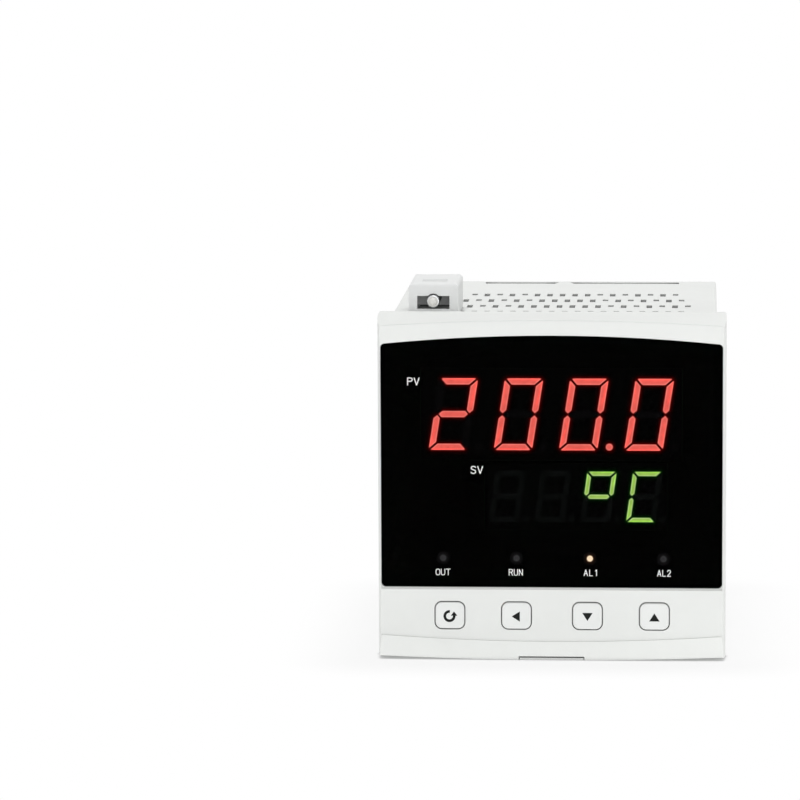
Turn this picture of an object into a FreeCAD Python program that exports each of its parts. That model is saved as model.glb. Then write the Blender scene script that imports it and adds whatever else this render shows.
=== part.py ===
import FreeCAD, Part
import math
import os

# PID temperature controller for a square panel cut-out, drawn in millimetres.
# Origin: centre of the bezel, in the plane of the panel face that the housing flange seats on.
# The front looks along -Y, the housing runs back along +Y, and +Z is up.

V = FreeCAD.Vector

# Panel format
bezel_size = 96.0
bezel_corner_radius = 0.7
panel_overlap = 2.6
flange_thickness = 2.8
front_depth = 9.8

# Front moulding
front_wall = 4.3
key_field_wall = 2.0
bezel_side_wall = 2.4
side_bevel_width = 1.3
side_bevel_depth = 5.1
brow_mid_drop = 1.25
brow_side_drop = 2.9
brow_edge_radius = 0.5
chin_mid_rise = 5.3
chin_side_rise = 7.05
chin_step = 0.3
chin_slope = 0.2
chin_bow = 1.0
skirt_wall = 1.6
skirt_length = 9.0
skirt_clearance = 0.3
skirt_corner_radius = 1.0
post_radius = 2.4
post_inset = 2.9
post_pilot_radius = 0.95
post_pilot_depth = 6.0

# Lens and the black mask behind it
lens_side_margin = 0.98
lens_bottom_share = 0.212
lens_top_mid_drop = 5.56
lens_top_side_drop = 7.95
lens_corner_radius = 1.2
lens_thickness = 1.5
lens_setback = 0.6
lens_clearance = 0.12
lens_rim_chamfer = 0.2
lens_low_lip = 0.6
mask_thickness = 0.8
ledge_side_margin = 9.95
ledge_low_margin = 4.9
ledge_high_margin = 8.3

# Seven-segment displays: widths and heights as shares of the bezel size or of the width before
display_face_gap = 0.1
segment_height = 0.06
segment_gap = 0.35
segment_corner_share = 0.45
segment_point_share = 0.1
point_gap_share = 0.45
display_digits = 4
pv_body_share = 0.748
pv_body_aspect = 0.3546
pv_digit_share = 0.604
pv_digit_aspect = 1.862
pv_stroke_share = 0.1835
pv_slant_deg = 9.0
pv_centre_x = -0.1
pv_centre_share = 0.5005
sv_body_share = 0.524
sv_body_aspect = 0.3698
sv_digit_share = 0.661
sv_digit_aspect = 1.714
sv_stroke_share = 0.1726
sv_slant_deg = 8.0
sv_offset_share = 0.0693
sv_centre_share = 0.2625
pv_text = ("2", "0", "0.", "0")
sv_text = ("", "", "o", "C")

# Indicator lights, in a row; True is one that is lit
light_states = (False, False, True, False)
light_pitch_share = 0.2111
light_centre_x = 0.45
light_rise_share = 0.0826
light_radius = 1.0
light_sleeve_radius = 2.0
light_sleeve_length = 5.0
light_fit = 0.05
led_size = 2.4
led_height = 0.8

# Keys: places as shares of the bezel size
key_names = ("set", "shift", "down", "up")
key_place_shares = (-0.2921, -0.1005, 0.1036, 0.2958)
key_row_share = 0.1307
key_width = 8.6
key_height = 8.0
key_corner_radius = 2.1
key_gap = 0.3
key_proud = 0.3
key_dish_depth = 0.25
key_edge_radius = 0.45
key_collar = 0.6
key_collar_thickness = 0.9
key_stem_radius = 1.5
key_travel = 0.8

# Boards and switches
board_thickness = 1.6
front_board_place = 1.8
board_clearance = 0.3
switch_size = 6.0
switch_height = 3.5
plunger_radius = 1.7
plunger_fit = 0.1
plunger_stroke_rest = 1.5
plunger_buried = 0.8
well_floor_gap = 0.3
board_screw_head_radius = 2.1
board_screw_head_height = 1.3
board_screw_fit = 0.05
board_hole_radius = 1.2
screw_end_gap = 0.8
side_board_inset = 13.4
board_edge_gap = 2.4
side_board_rear_gap = 0.8
header_width = 2.5
header_depth = 8.5
header_height = 50.0

# Housing
housing_corner_radius = 0.8
housing_wall = 2.0
housing_length = 92.3
rear_cover_depth = 8.3
guide_start = 12.0
guide_socket_gap = 3.0
guide_rib = 1.5
guide_height = 3.9
guide_gap = 0.3

# Vents in the top and bottom walls: columns in each row, rearmost row first
vent_pitch = 3.63
vent_row_pitch = 14.5
vent_columns = (17, 18, 18, 18)
vent_first_x = -24.5
vent_rear_margin = 25.1
vent_width = 1.6
vent_long = 6.5
vent_short = 4.0
vent_middle_x = 1.0
vent_middle_half = 7.5

# Release tongue below the bezel
tongue_width = 17.6
tongue_gap = 0.3
tongue_tip_thickness = 0.6
tongue_root_thickness = 1.1
tongue_reach = 6.2
tongue_slot_gap = 0.3

# Clip, its rail and its screw
clip_side_inset = 12.1
clip_width = 13.8
clip_front = 7.5
clip_length = 26.0
clip_height = 9.1
clip_lift = 0.3
clip_wall = 1.6
clip_top_wall = 1.4
clip_edge_radius = 1.2
clip_window_width = 9.0
clip_window_low = 2.05
clip_window_high = 5.7
clip_hook_length = 4.5
clip_hook_places = (4.5, 17.5)
clip_boss_place = 11.0
clip_boss_length = 7.0
clip_grip_grooves = 3
clip_grip_pitch = 2.0
clip_grip_width = 7.0
clip_grip_depth = 0.4
clip_grip_place = 8.5
clip_driver_gap = 0.45
rail_width = 7.2
rail_cap_width = 9.4
rail_web_height = 1.2
rail_cap_height = 0.8
rail_cap_length = 5.1
rail_gap = 0.3
rail_stop_length = 1.5
screw_height = 4.3
screw_radius = 1.75
screw_fit = 0.05
screw_tip = 7.4
screw_length = 22.0
screw_slot_width = 0.8
screw_slot_depth = 1.2
screw_neck_radius = 0.9
screw_neck_length = 1.4
foot_radius = 1.45
foot_length = 2.7
foot_gap = 0.2
foot_tip_radius = 0.5

# Rear cover and terminals
rear_slot_start = 2.1
rear_slot_width = 3.4
rear_slot_insets = (20.6, 9.0)
rear_slot_tab = (-2.3, 3.4)
rear_slot_slant = 1.2
cover_plate_thickness = 3.2
cover_wall = 2.0
spigot_length = 4.0
spigot_wall = 1.4
terminal_count = 10
terminal_field_share = 0.8333
terminal_strip_width = 17.4
terminal_strip_height = 1.5
barrier_thickness = 1.0
terminal_plate_thickness = 0.8
terminal_plate_width = 6.2
terminal_plate_inset = 4.1
terminal_screw_inset = 8.4
terminal_screw_radius = 1.45
terminal_screw_fit = 0.05
terminal_screw_length = 3.8
terminal_end_gap = 0.2
terminal_head_radius = 2.7
terminal_head_height = 1.9
terminal_slot_width = 0.7
terminal_slot_depth = 0.8
tail_thickness = 0.6
tail_width = 3.0
tail_slot_gap = 0.15
tail_board_gap = 0.3
socket_depth = 6.3
socket_wall = 1.5
socket_end_wall = 1.3
plug_edge_gap = 5.6
plug_shoulder_gap = 0.5
tail_reach = 5.3

# Parts on the boards: distance behind the panel face, then height
core_length = 25.0
core_height = 26.0
core_leg = 6.5
core_stack = 20.0
core_lift = 1.5
core_place = (36.0, 4.0)
bobbin_gap = 0.2
bobbin_flange = 1.5
input_capacitor_radius = 8.0
input_capacitor_length = 25.0
input_capacitor_place = (61.0, 16.0)
output_capacitor_radius = 5.0
output_capacitor_length = 16.0
output_capacitor_places = ((18.0, -18.0), (18.0, -6.0))
capacitor_crimp_place = 2.5
capacitor_crimp_width = 1.5
capacitor_crimp_depth = 0.5
surge_disc_radius = 5.5
surge_disc_thickness = 4.0
surge_disc_place = (68.0, -22.0)
surge_disc_lift = 3.0
surge_leg_radius = 0.5
surge_leg_spacing = 6.0
fuse_radius = 2.6
fuse_length = 20.0
fuse_cap_radius = 3.0
fuse_cap_length = 5.0
fuse_place = (52.0, -30.0)
relay_size = (15.5, 19.0, 15.5)
relay_places = ((50.0, 24.0), (50.0, 2.0), (50.0, -20.0))
relay_edge_radius = 0.6
controller_chip_size = (1.6, 14.0, 14.0)
controller_chip_place = (24.0, 8.0)
converter_chip_size = (1.8, 6.0, 10.0)
converter_chip_place = (24.0, -18.0)
bridge_length = 4.0
bridge_height = 12.0
bridge_socket_gap = 10.0
bridge_foot = 1.2

# How far a cutting form runs past what it cuts, and how deep a rib is rooted in a wall
past = 1.0
far_past = 12.0
root_overlap = 0.4

# Worked out from the sizes above
half = bezel_size / 2.0
front_face = -front_depth
chin_face = front_face - chin_step
brow_back = -flange_thickness
housing_half = half - panel_overlap
bore_half = housing_half - housing_wall
skirt_half = bore_half - skirt_clearance
skirt_inner = skirt_half - skirt_wall
lens_half = half - lens_side_margin
lens_bottom = -half + lens_bottom_share * bezel_size
lens_top_mid = half - lens_top_mid_drop
lens_top_side = half - lens_top_side_drop
lens_front = front_face + lens_setback
lens_back = lens_front + lens_thickness
mask_back = lens_back + mask_thickness
ledge_back = front_face + front_wall
ledge_half = lens_half - ledge_side_margin
ledge_low = lens_bottom + ledge_low_margin
ledge_high = lens_top_mid - ledge_high_margin
key_wall_back = front_face + key_field_wall
key_field_top = lens_bottom - lens_low_lip - mask_thickness
display_face = lens_back + display_face_gap
pv_body_width = pv_body_share * bezel_size
pv_body_height = pv_body_aspect * pv_body_width
pv_pitch = pv_body_width / display_digits
pv_digit = (pv_digit_share * pv_pitch, pv_digit_share * pv_pitch * pv_digit_aspect)
pv_stroke = pv_stroke_share * pv_digit[0]
pv_centre_z = lens_bottom + pv_centre_share * bezel_size
sv_body_width = sv_body_share * bezel_size
sv_body_height = sv_body_aspect * sv_body_width
sv_pitch = sv_body_width / display_digits
sv_digit = (sv_digit_share * sv_pitch, sv_digit_share * sv_pitch * sv_digit_aspect)
sv_stroke = sv_stroke_share * sv_digit[0]
sv_centre_x = sv_offset_share * bezel_size
sv_centre_z = lens_bottom + sv_centre_share * bezel_size
light_z = lens_bottom + light_rise_share * bezel_size
light_places = [
    light_centre_x + (number - (len(light_states) - 1) / 2.0) * light_pitch_share * bezel_size
    for number in range(len(light_states))
]
key_places = [share * bezel_size for share in key_place_shares]
key_z = -half + key_row_share * bezel_size
front_board_half = skirt_inner - board_clearance
front_board_back = front_board_place + board_thickness
switch_front = front_board_place - switch_height
plunger_front = switch_front - plunger_stroke_rest
post_place = skirt_inner - post_inset
post_places = [(x, z) for x in (-post_place, post_place) for z in (-post_place, post_place)]
side_board_place = bore_half - side_board_inset
side_board_half_height = bore_half - board_edge_gap
plug_half_height = bore_half - plug_edge_gap
socket_front = housing_length - socket_depth
side_board_end = housing_length - side_board_rear_gap
guide_end = socket_front - guide_socket_gap
power_face = -side_board_place + board_thickness / 2.0
main_face = side_board_place - board_thickness / 2.0
bridge_place = socket_front - bridge_socket_gap
vent_rear_end = housing_length - vent_rear_margin
terminal_pitch = terminal_field_share * bezel_size / terminal_count
cover_plate_back = housing_length + cover_plate_thickness
strip_back = cover_plate_back + terminal_strip_height
cover_end = housing_length + rear_cover_depth
plate_back = strip_back + terminal_plate_thickness
terminal_strip_inner = housing_half - terminal_strip_width
terminal_plate_outer = housing_half - terminal_plate_inset
terminal_screw_place = housing_half - terminal_screw_inset
tail_inner = side_board_place + board_thickness / 2.0 + tail_board_gap
tail_outer = tail_inner + tail_thickness
terminal_hole_radius = terminal_screw_radius + terminal_screw_fit
clip_centre_x = -housing_half + clip_side_inset
clip_base = housing_half + clip_lift
clip_top = clip_base + clip_height
clip_back = clip_front + clip_length
screw_z = clip_base + screw_height
terminal_rows = [
    (number - (terminal_count - 1) / 2.0) * terminal_pitch
    for number in range(terminal_count)
]


def block(x_span, y_span, z_span):
    """A box between the two ends of each span."""
    low = V(min(x_span), min(y_span), min(z_span))
    high = V(max(x_span), max(y_span), max(z_span))
    return Part.makeBox(high.x - low.x, high.y - low.y, high.z - low.z, low)


def span(middle, length):
    """The two ends of a length laid evenly about its middle."""
    return (middle - length / 2.0, middle + length / 2.0)


def square_block(half_size, y_span):
    """A box centred on the Y axis, square in front view."""
    return block((-half_size, half_size), y_span, (-half_size, half_size))


def rod(radius, y_span, x, z):
    """A cylinder along Y."""
    start = min(y_span)
    return Part.makeCylinder(radius, max(y_span) - start, V(x, start, z), V(0, 1, 0))


def edges_along(shape, direction):
    """The straight edges of a shape that run along a direction."""
    found = []
    for edge in shape.Edges:
        if not isinstance(edge.Curve, Part.Line):
            continue
        if abs(edge.Curve.Direction.dot(direction)) > 0.999:
            found.append(edge)
    return found


def rounded_block(x_span, y_span, z_span, radius):
    """A box whose four edges along Y are rounded."""
    solid = block(x_span, y_span, z_span)
    return solid.makeFillet(radius, edges_along(solid, V(0, 1, 0)))


def rounded_square(half_size, y_span, radius):
    """A square box centred on the Y axis with rounded corners."""
    return rounded_block((-half_size, half_size), y_span, (-half_size, half_size), radius)


def arc_edge(first, middle, last):
    """A circular edge through three points."""
    return Part.Arc(first, middle, last).toShape()


def polygon_prism(points, sweep):
    """A prism over a closed outline of points."""
    outline = Part.makePolygon(points + [points[0]])
    return Part.Face(outline).extrude(sweep)


def join(solids):
    """One solid from several that touch or overlap."""
    first = solids[0]
    if len(solids) == 1:
        return first
    return first.fuse(solids[1:]).removeSplitter()


def group(solids):
    """Separate like solids kept in one shape."""
    return Part.makeCompound(solids)


def mirrored_x(shape):
    """The same shape on the other side of the YZ plane."""
    return shape.mirror(V(0, 0, 0), V(1, 0, 0))


def mirrored_z(shape):
    """The same shape on the other side of the XY plane."""
    return shape.mirror(V(0, 0, 0), V(0, 0, 1))


def bowed_wire(y, side_z, middle_z, far_z):
    """Outline at a depth: a shallow bow across the front, closed beyond far_z."""
    reach = half + past
    rise = (middle_z - side_z) * (reach / half) ** 2
    left = V(-reach, y, middle_z - rise)
    right = V(reach, y, middle_z - rise)
    bow = Part.BezierCurve()
    bow.setPoles([left, V(0, y, middle_z + rise), right])
    return Part.Wire([
        bow.toShape(),
        Part.makeLine(right, V(reach, y, far_z)),
        Part.makeLine(V(reach, y, far_z), V(-reach, y, far_z)),
        Part.makeLine(V(-reach, y, far_z), left),
    ])


def brow_cutter():
    """What is cut away above the sloping brow."""
    far = half + far_past
    front = bowed_wire(front_face, half - brow_side_drop, half - brow_mid_drop, far)
    back = bowed_wire(brow_back, half, half, far)
    ahead = bowed_wire(chin_face, half - brow_side_drop, half - brow_mid_drop, far)
    return Part.makeLoft([ahead, front, back], True, True)


def chin_cutter():
    """What is cut away in front of the chin band, which leans back to the bottom edge."""
    far = -half - far_past
    run = far_past - past
    front = bowed_wire(chin_face, -half + chin_side_rise, -half + chin_mid_rise, far)
    back_y = chin_face + run * chin_slope
    back = bowed_wire(back_y, -half + chin_side_rise - run, -half + chin_mid_rise - run, far)
    return Part.makeLoft([front, back], True, True)


def side_curve(sign):
    """The quarter-oval curve that rounds one side of the front, in plan view."""
    low = -half - past
    inner = half - side_bevel_width
    start = chin_face + side_bevel_depth
    pull = 0.5523
    curve = Part.BezierCurve()
    curve.setPoles([
        V(sign * half, start, low),
        V(sign * half, start - pull * side_bevel_depth, low),
        V(sign * (inner + pull * side_bevel_width), chin_face, low),
        V(sign * inner, chin_face, low),
    ])
    return curve.toShape()


def side_profile_block():
    """A block whose front side edges are rounded."""
    low = -half - past
    inner = half - side_bevel_width
    start = chin_face + side_bevel_depth
    wire = Part.Wire([
        Part.makeLine(V(-half, 0, low), V(-half, start, low)),
        side_curve(-1),
        Part.makeLine(V(-inner, chin_face, low), V(inner, chin_face, low)),
        side_curve(1),
        Part.makeLine(V(half, start, low), V(half, 0, low)),
        Part.makeLine(V(half, 0, low), V(-half, 0, low)),
    ])
    return Part.Face(wire).extrude(V(0, 0, bezel_size + 2.0))


def edges_at_depth(shape, y):
    """The edges of a shape whose middle lies in one plane square to the Y axis."""
    found = []
    for edge in shape.Edges:
        middle = edge.valueAt((edge.FirstParameter + edge.LastParameter) / 2.0)
        if abs(middle.y - y) < 0.001:
            found.append(edge)
    return found


def arched_prism(inset, y_span):
    """The lens outline, drawn in by an inset, as a prism: straight sides and an arched top."""
    x = lens_half - inset
    low = lens_bottom + inset
    side = lens_top_side - inset
    middle = lens_top_mid - inset
    y = min(y_span)
    wire = Part.Wire([
        Part.makeLine(V(-x, y, low), V(x, y, low)),
        Part.makeLine(V(x, y, low), V(x, y, side)),
        arc_edge(V(x, y, side), V(0, y, middle), V(-x, y, side)),
        Part.makeLine(V(-x, y, side), V(-x, y, low)),
    ])
    solid = Part.Face(wire).extrude(V(0, max(y_span) - y, 0))
    return solid.makeFillet(lens_corner_radius, edges_along(solid, V(0, 1, 0)))


def bezel_outside():
    """The outer form of the front moulding, before it is hollowed."""
    y_span = (chin_face, -flange_thickness)
    low = bowed_wire(chin_face, -half + chin_bow, -half, half + far_past)
    form = Part.Face(low).extrude(V(0, -flange_thickness - chin_face, 0))
    form = form.common(rounded_square(half, y_span, bezel_corner_radius))
    form = form.common(side_profile_block())
    form = form.cut(chin_cutter())
    above_chin = bowed_wire(
        chin_face - past, -half + chin_side_rise, -half + chin_mid_rise, half + far_past
    )
    form = form.cut(Part.Face(above_chin).extrude(V(0, past + chin_step, 0)))
    form = form.cut(brow_cutter())
    crease = []
    for edge in edges_at_depth(form, front_face):
        centre = edge.CenterOfMass
        if centre.z > lens_top_mid and abs(centre.x) < past:
            crease.append(edge)
    return form.makeFillet(brow_edge_radius, crease)


def bezel_cavities():
    """The hollows of the front moulding, open towards the housing."""
    upper_top = half - brow_side_drop - bezel_side_wall
    hollow_half = half - bezel_side_wall
    hollow_low = -half + chin_bow + bezel_side_wall
    back = -flange_thickness
    shell = block((-hollow_half, hollow_half), (ledge_back, back), (hollow_low, upper_top))
    key_field = block((-skirt_inner, skirt_inner), (key_wall_back, back), (-skirt_inner, key_field_top))
    return [shell, key_field]


def bezel_skirt():
    """The rim that centres the moulding in the mouth of the housing."""
    y_span = (ledge_back, skirt_length)
    return rounded_square(skirt_half, y_span, skirt_corner_radius).cut(square_block(skirt_inner, y_span))


def bezel_posts():
    """Four posts that carry the front board, with pilot holes for its screws."""
    posts = []
    for x in (-post_place, post_place):
        upper = rod(post_radius, (ledge_back, front_board_place), x, post_place)
        lower = rod(post_radius, (key_wall_back, front_board_place), x, -post_place)
        posts.extend([upper, lower])
    return posts


def post_pilots():
    """The pilot holes in the four posts."""
    hole_span = (front_board_place - post_pilot_depth, front_board_place)
    return [rod(post_pilot_radius, hole_span, x, z) for x, z in post_places]


def key_prism(x, y_span, grow, radius):
    """A key outline as a prism, grown or shrunk all round."""
    x_span = span(x, key_width + 2.0 * grow)
    z_span = span(key_z, key_height + 2.0 * grow)
    return rounded_block(x_span, y_span, z_span, radius)


def tongue_prism(width, gap, reach_more):
    """The release tongue, or with a gap the recess that clears it."""
    root_y = -flange_thickness
    tip_y = root_y - tongue_reach - reach_more
    low = -half - gap
    points = [
        V(-width / 2.0, root_y, low),
        V(-width / 2.0, tip_y, low),
        V(-width / 2.0, tip_y, -half + tongue_tip_thickness + gap),
        V(-width / 2.0, root_y, -half + tongue_root_thickness + gap),
    ]
    return polygon_prism(points, V(width, 0, 0))


def lens_pocket():
    """The pocket for lens and mask, chamfered at its mouth."""
    mouth = arched_prism(-lens_rim_chamfer, (chin_face - past, front_face + lens_rim_chamfer))
    mouth = mouth.makeChamfer(lens_rim_chamfer, edges_at_depth(mouth, front_face + lens_rim_chamfer))
    return arched_prism(0.0, (chin_face - past, mask_back)).fuse(mouth)


def low_lip():
    """The slope that leads from the front face down to the lower edge of the lens."""
    lip = [
        V(-lens_half, front_face - past, lens_bottom - lens_low_lip * (lens_setback + past) / lens_setback),
        V(-lens_half, front_face - past, lens_bottom + past),
        V(-lens_half, lens_front, lens_bottom + past),
        V(-lens_half, lens_front, lens_bottom),
    ]
    return polygon_prism(lip, V(2.0 * lens_half, 0, 0))


def front_bezel():
    """The white moulding that faces the operator."""
    body = bezel_outside()
    for hollow in bezel_cavities():
        body = body.cut(hollow)
    body = body.fuse([bezel_skirt()] + bezel_posts())
    body = body.cut([lens_pocket(), low_lip()])
    opening = block(
        (-ledge_half, ledge_half),
        (mask_back - past, ledge_back + past),
        (ledge_low, ledge_high),
    )
    body = body.cut(opening)
    for x in key_places:
        body = body.cut(key_prism(x, (chin_face - past, key_wall_back + past), 0.0, key_corner_radius))
    for pilot in post_pilots():
        body = body.cut(pilot)
    body = body.cut(tongue_prism(tongue_width + 2.0 * tongue_gap, tongue_slot_gap, 2.0))
    return body.removeSplitter()


def display_window():
    """The smoked lens, flat, with the arched top."""
    lens = arched_prism(lens_clearance, (lens_front, lens_back))
    return lens.makeChamfer(lens_rim_chamfer, edges_at_depth(lens, lens_front))


def display_body(centre_x, centre_z, width, height):
    """The moulded block of one read-out, from its face to the front board."""
    return block(span(centre_x, width), (display_face, front_board_place), span(centre_z, height))


def display_mask():
    """The black plate behind the lens, with display apertures and light-guide sleeves."""
    plate = arched_prism(lens_clearance, (lens_back, mask_back))
    for x, z, width, height in (
        (pv_centre_x, pv_centre_z, pv_body_width, pv_body_height),
        (sv_centre_x, sv_centre_z, sv_body_width, sv_body_height),
    ):
        aperture_width = width + 2.0 * lens_clearance
        aperture_height = height + 2.0 * lens_clearance
        y_span = (lens_back - past, mask_back + past)
        plate = plate.cut(block(span(x, aperture_width), y_span, span(z, aperture_height)))
    sleeves = [
        rod(light_sleeve_radius, (mask_back, mask_back + light_sleeve_length), x, light_z)
        for x in light_places
    ]
    body = plate.fuse(sleeves)
    for x in light_places:
        hole_span = (lens_back - past, mask_back + light_sleeve_length + past)
        body = body.cut(rod(light_radius + light_fit, hole_span, x, light_z))
    return body.removeSplitter()


# Bars of a digit: the kind of bar, and its mirroring sideways and upwards
BARS = {
    "a": ("level", 1, 1),
    "b": ("upright", 1, 1),
    "c": ("upright", 1, -1),
    "d": ("level", 1, -1),
    "e": ("upright", -1, -1),
    "f": ("upright", -1, 1),
    "g": ("middle", 1, 1),
}
SIGNS = {
    "": "",
    "0": "abcdef",
    "2": "abged",
    "o": "abfg",
    "C": "afed",
}


def bar_outline(kind, size, stroke):
    """The corners of one mitred bar, upright and centred on the digit."""
    wide = size[0] / 2.0
    tall = size[1] / 2.0
    gap = segment_gap / math.sqrt(2.0)
    cut = segment_corner_share * stroke
    waist = stroke / 2.0
    if kind == "level":
        side = [
            (wide - cut, tall),
            (wide - (cut + gap) / 2.0, tall - (cut - gap) / 2.0),
            (wide - stroke - gap, tall - stroke),
        ]
        return side + [(-x, z) for x, z in reversed(side)]
    if kind == "upright":
        return [
            (wide - (cut - gap) / 2.0, tall - (cut + gap) / 2.0),
            (wide, tall - cut),
            (wide, waist + gap / 2.0),
            (wide - waist, gap / 2.0),
            (wide - stroke, waist + gap / 2.0),
            (wide - stroke, tall - stroke - gap),
        ]
    reach = wide - waist - gap
    return [
        (-reach, 0.0),
        (-reach + waist, waist),
        (reach - waist, waist),
        (reach, 0.0),
        (reach - waist, -waist),
        (-reach + waist, -waist),
    ]


def segment_solid(name, centre, size, stroke, lean):
    """One bar of a digit, leaning with the digit, standing just off the display face."""
    kind, flip_x, flip_z = BARS[name]
    points = []
    for x, z in bar_outline(kind, size, stroke):
        place = V(centre[0] + flip_x * x + flip_z * z * lean, display_face, centre[1] + flip_z * z)
        points.append(place)
    return polygon_prism(points, V(0, -segment_height, 0))


def read_out(text, centre, pitch, size, stroke, slant_deg):
    """The lit and the unlit solids of a read-out, digit by digit with the points."""
    lit = []
    unlit = []
    lean = math.tan(math.radians(slant_deg))
    point_radius = segment_point_share * size[0]
    point_z = centre[1] - size[1] / 2.0 + point_radius
    point_step = size[0] / 2.0 - size[1] / 2.0 * lean + point_gap_share * (pitch - size[0])
    for number, sign in enumerate(text):
        x = centre[0] + (number - (len(text) - 1) / 2.0) * pitch
        shown = SIGNS[sign.rstrip(".")]
        for name in BARS:
            bar = segment_solid(name, (x, centre[1]), size, stroke, lean)
            (lit if name in shown else unlit).append(bar)
        point = rod(point_radius, (display_face - segment_height, display_face), x + point_step, point_z)
        (lit if sign.endswith(".") else unlit).append(point)
    return group(lit), group(unlit)


def light_guide(x):
    """One clear rod with a domed front end, from an LED to the lens."""
    led_front = front_board_place - led_height
    tip = lens_back + display_face_gap
    straight = rod(light_radius, (tip + light_radius, led_front), x, light_z)
    ball = Part.makeSphere(light_radius, V(x, tip + light_radius, light_z))
    return join([straight, ball])


def indicator_leds():
    """The four small LEDs on the front board, one behind each light guide."""
    y_span = (front_board_place - led_height, front_board_place)
    return group([block(span(x, led_size), y_span, span(light_z, led_size)) for x in light_places])


def key_cap(x):
    """A key cap: dished face, rounded edge, collar behind the wall, and a stem to the switch."""
    front = front_face - key_proud
    cap = key_prism(x, (front, key_wall_back), -key_gap, key_corner_radius - key_gap)
    cap = cap.makeFillet(key_edge_radius, edges_at_depth(cap, front))
    dish_half = key_width / 2.0 - key_gap - key_edge_radius
    dish_radius = (dish_half ** 2 + key_dish_depth ** 2) / (2.0 * key_dish_depth)
    cap = cap.cut(Part.makeSphere(dish_radius, V(x, front + key_dish_depth - dish_radius, key_z)))
    collar_back = key_wall_back + key_collar_thickness
    collar = key_prism(x, (key_wall_back, collar_back), key_collar, key_corner_radius + key_collar)
    stem = rod(key_stem_radius, (collar_back, plunger_front), x, key_z)
    return join([cap, collar, stem])


def switch_body(x):
    """A tact switch body with the well that its plunger slides in."""
    body = block(span(x, switch_size), (switch_front, front_board_place), span(key_z, switch_size))
    well_end = switch_front + plunger_buried + key_travel + well_floor_gap
    return body.cut(rod(plunger_radius + plunger_fit, (switch_front - past, well_end), x, key_z))


def switch_plunger(x):
    """The plunger of one tact switch, which a key cap pushes."""
    return rod(plunger_radius, (plunger_front, switch_front + plunger_buried), x, key_z)


def front_board():
    """The circuit board behind the displays, with holes for its screws."""
    board = square_block(front_board_half, (front_board_place, front_board_back))
    hole_span = (front_board_place - past, front_board_back + past)
    return board.cut([rod(board_hole_radius, hole_span, x, z) for x, z in post_places])


def board_screws():
    """Four screws that hold the front board to the bezel posts."""
    head_span = (front_board_back, front_board_back + board_screw_head_height)
    shank_span = (front_board_place - post_pilot_depth + screw_end_gap, front_board_back)
    return group([
        join([
            rod(board_screw_head_radius, head_span, x, z),
            rod(post_pilot_radius - board_screw_fit, shank_span, x, z),
        ])
        for x, z in post_places
    ])


def side_board(sign):
    """A side board, which runs back in the card guides and plugs into the edge socket."""
    outer = sign * (side_board_place + board_thickness / 2.0)
    x_span = (outer, outer - sign * board_thickness)
    shoulder = socket_front - plug_shoulder_gap
    card = block(x_span, (front_board_back, shoulder), (-side_board_half_height, side_board_half_height))
    plug = block(x_span, (shoulder, side_board_end), (-plug_half_height, plug_half_height))
    return join([card, plug])


def board_headers():
    """The right-angle headers that join the side boards to the front board."""
    headers = []
    for sign in (-1, 1):
        inner = sign * (side_board_place - board_thickness / 2.0)
        y_span = (front_board_back, front_board_back + header_depth)
        headers.append(block((inner, inner - sign * header_width), y_span, span(0.0, header_height)))
    return group(headers)


def rear_bridge():
    """The bar that ties the two side boards together near the rear."""
    bar_span = (bridge_place, bridge_place + bridge_length)
    bar = block((power_face, main_face), bar_span, span(0.0, bridge_height / 2.0))
    foot_span = (bridge_place - bridge_length, bridge_place + 2.0 * bridge_length)
    feet = [
        block((face, face - sign * bridge_foot), foot_span, span(0.0, bridge_height))
        for sign, face in ((-1, power_face), (1, main_face))
    ]
    return join([bar] + feet)


def transformer_core():
    """The two-window ferrite core, lying on the power board."""
    y, z = core_place
    x_span = (power_face + core_lift, power_face + core_lift + core_stack)
    body = block(x_span, span(y, core_length), span(z, core_height))
    wide = core_length / 2.0 - core_leg / 2.0
    tall = core_height / 2.0 - core_leg / 2.0
    for side in (-1, 1):
        body = body.cut(block(
            (x_span[0] - past, x_span[1] + past),
            (y + side * core_leg / 2.0, y + side * wide),
            (z - tall, z + tall),
        ))
    return body


def transformer_bobbin():
    """The wound bobbin round the middle leg of the core."""
    y, z = core_place
    tall = core_height / 2.0 - core_leg / 2.0 - bobbin_gap
    wide = core_length / 2.0 - core_leg / 2.0 - bobbin_gap
    end = power_face + core_lift + core_stack + bobbin_flange
    body = block((power_face, end), (y - wide, y + wide), (z - tall, z + tall))
    gap = bobbin_gap / 2.0
    leg = block(
        (power_face + core_lift - gap, power_face + core_lift + core_stack + gap),
        (y - core_leg / 2.0 - gap, y + core_leg / 2.0 + gap),
        (z - tall - past, z + tall + past),
    )
    return body.cut(leg)


def capacitor(radius, length, place):
    """A can capacitor that stands on the power board, with its crimped neck."""
    y, z = place
    neck = radius - capacitor_crimp_depth
    half_crimp = capacitor_crimp_width / 2.0
    profile = [
        V(0, 0, 0),
        V(0, radius, 0),
        V(capacitor_crimp_place - half_crimp, radius, 0),
        V(capacitor_crimp_place, neck, 0),
        V(capacitor_crimp_place + half_crimp, radius, 0),
        V(length - capacitor_crimp_depth, radius, 0),
        V(length, neck, 0),
        V(length, 0, 0),
    ]
    outline = Part.Face(Part.makePolygon(profile + [profile[0]]))
    can = outline.revolve(V(0, 0, 0), V(1, 0, 0), 360)
    can.translate(V(power_face, y, z))
    return can


def input_capacitor():
    """The large capacitor that smooths the mains."""
    return capacitor(input_capacitor_radius, input_capacitor_length, input_capacitor_place)


def output_capacitors():
    """The two smaller capacitors of the supply output."""
    return group([
        capacitor(output_capacitor_radius, output_capacitor_length, place)
        for place in output_capacitor_places
    ])


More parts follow.
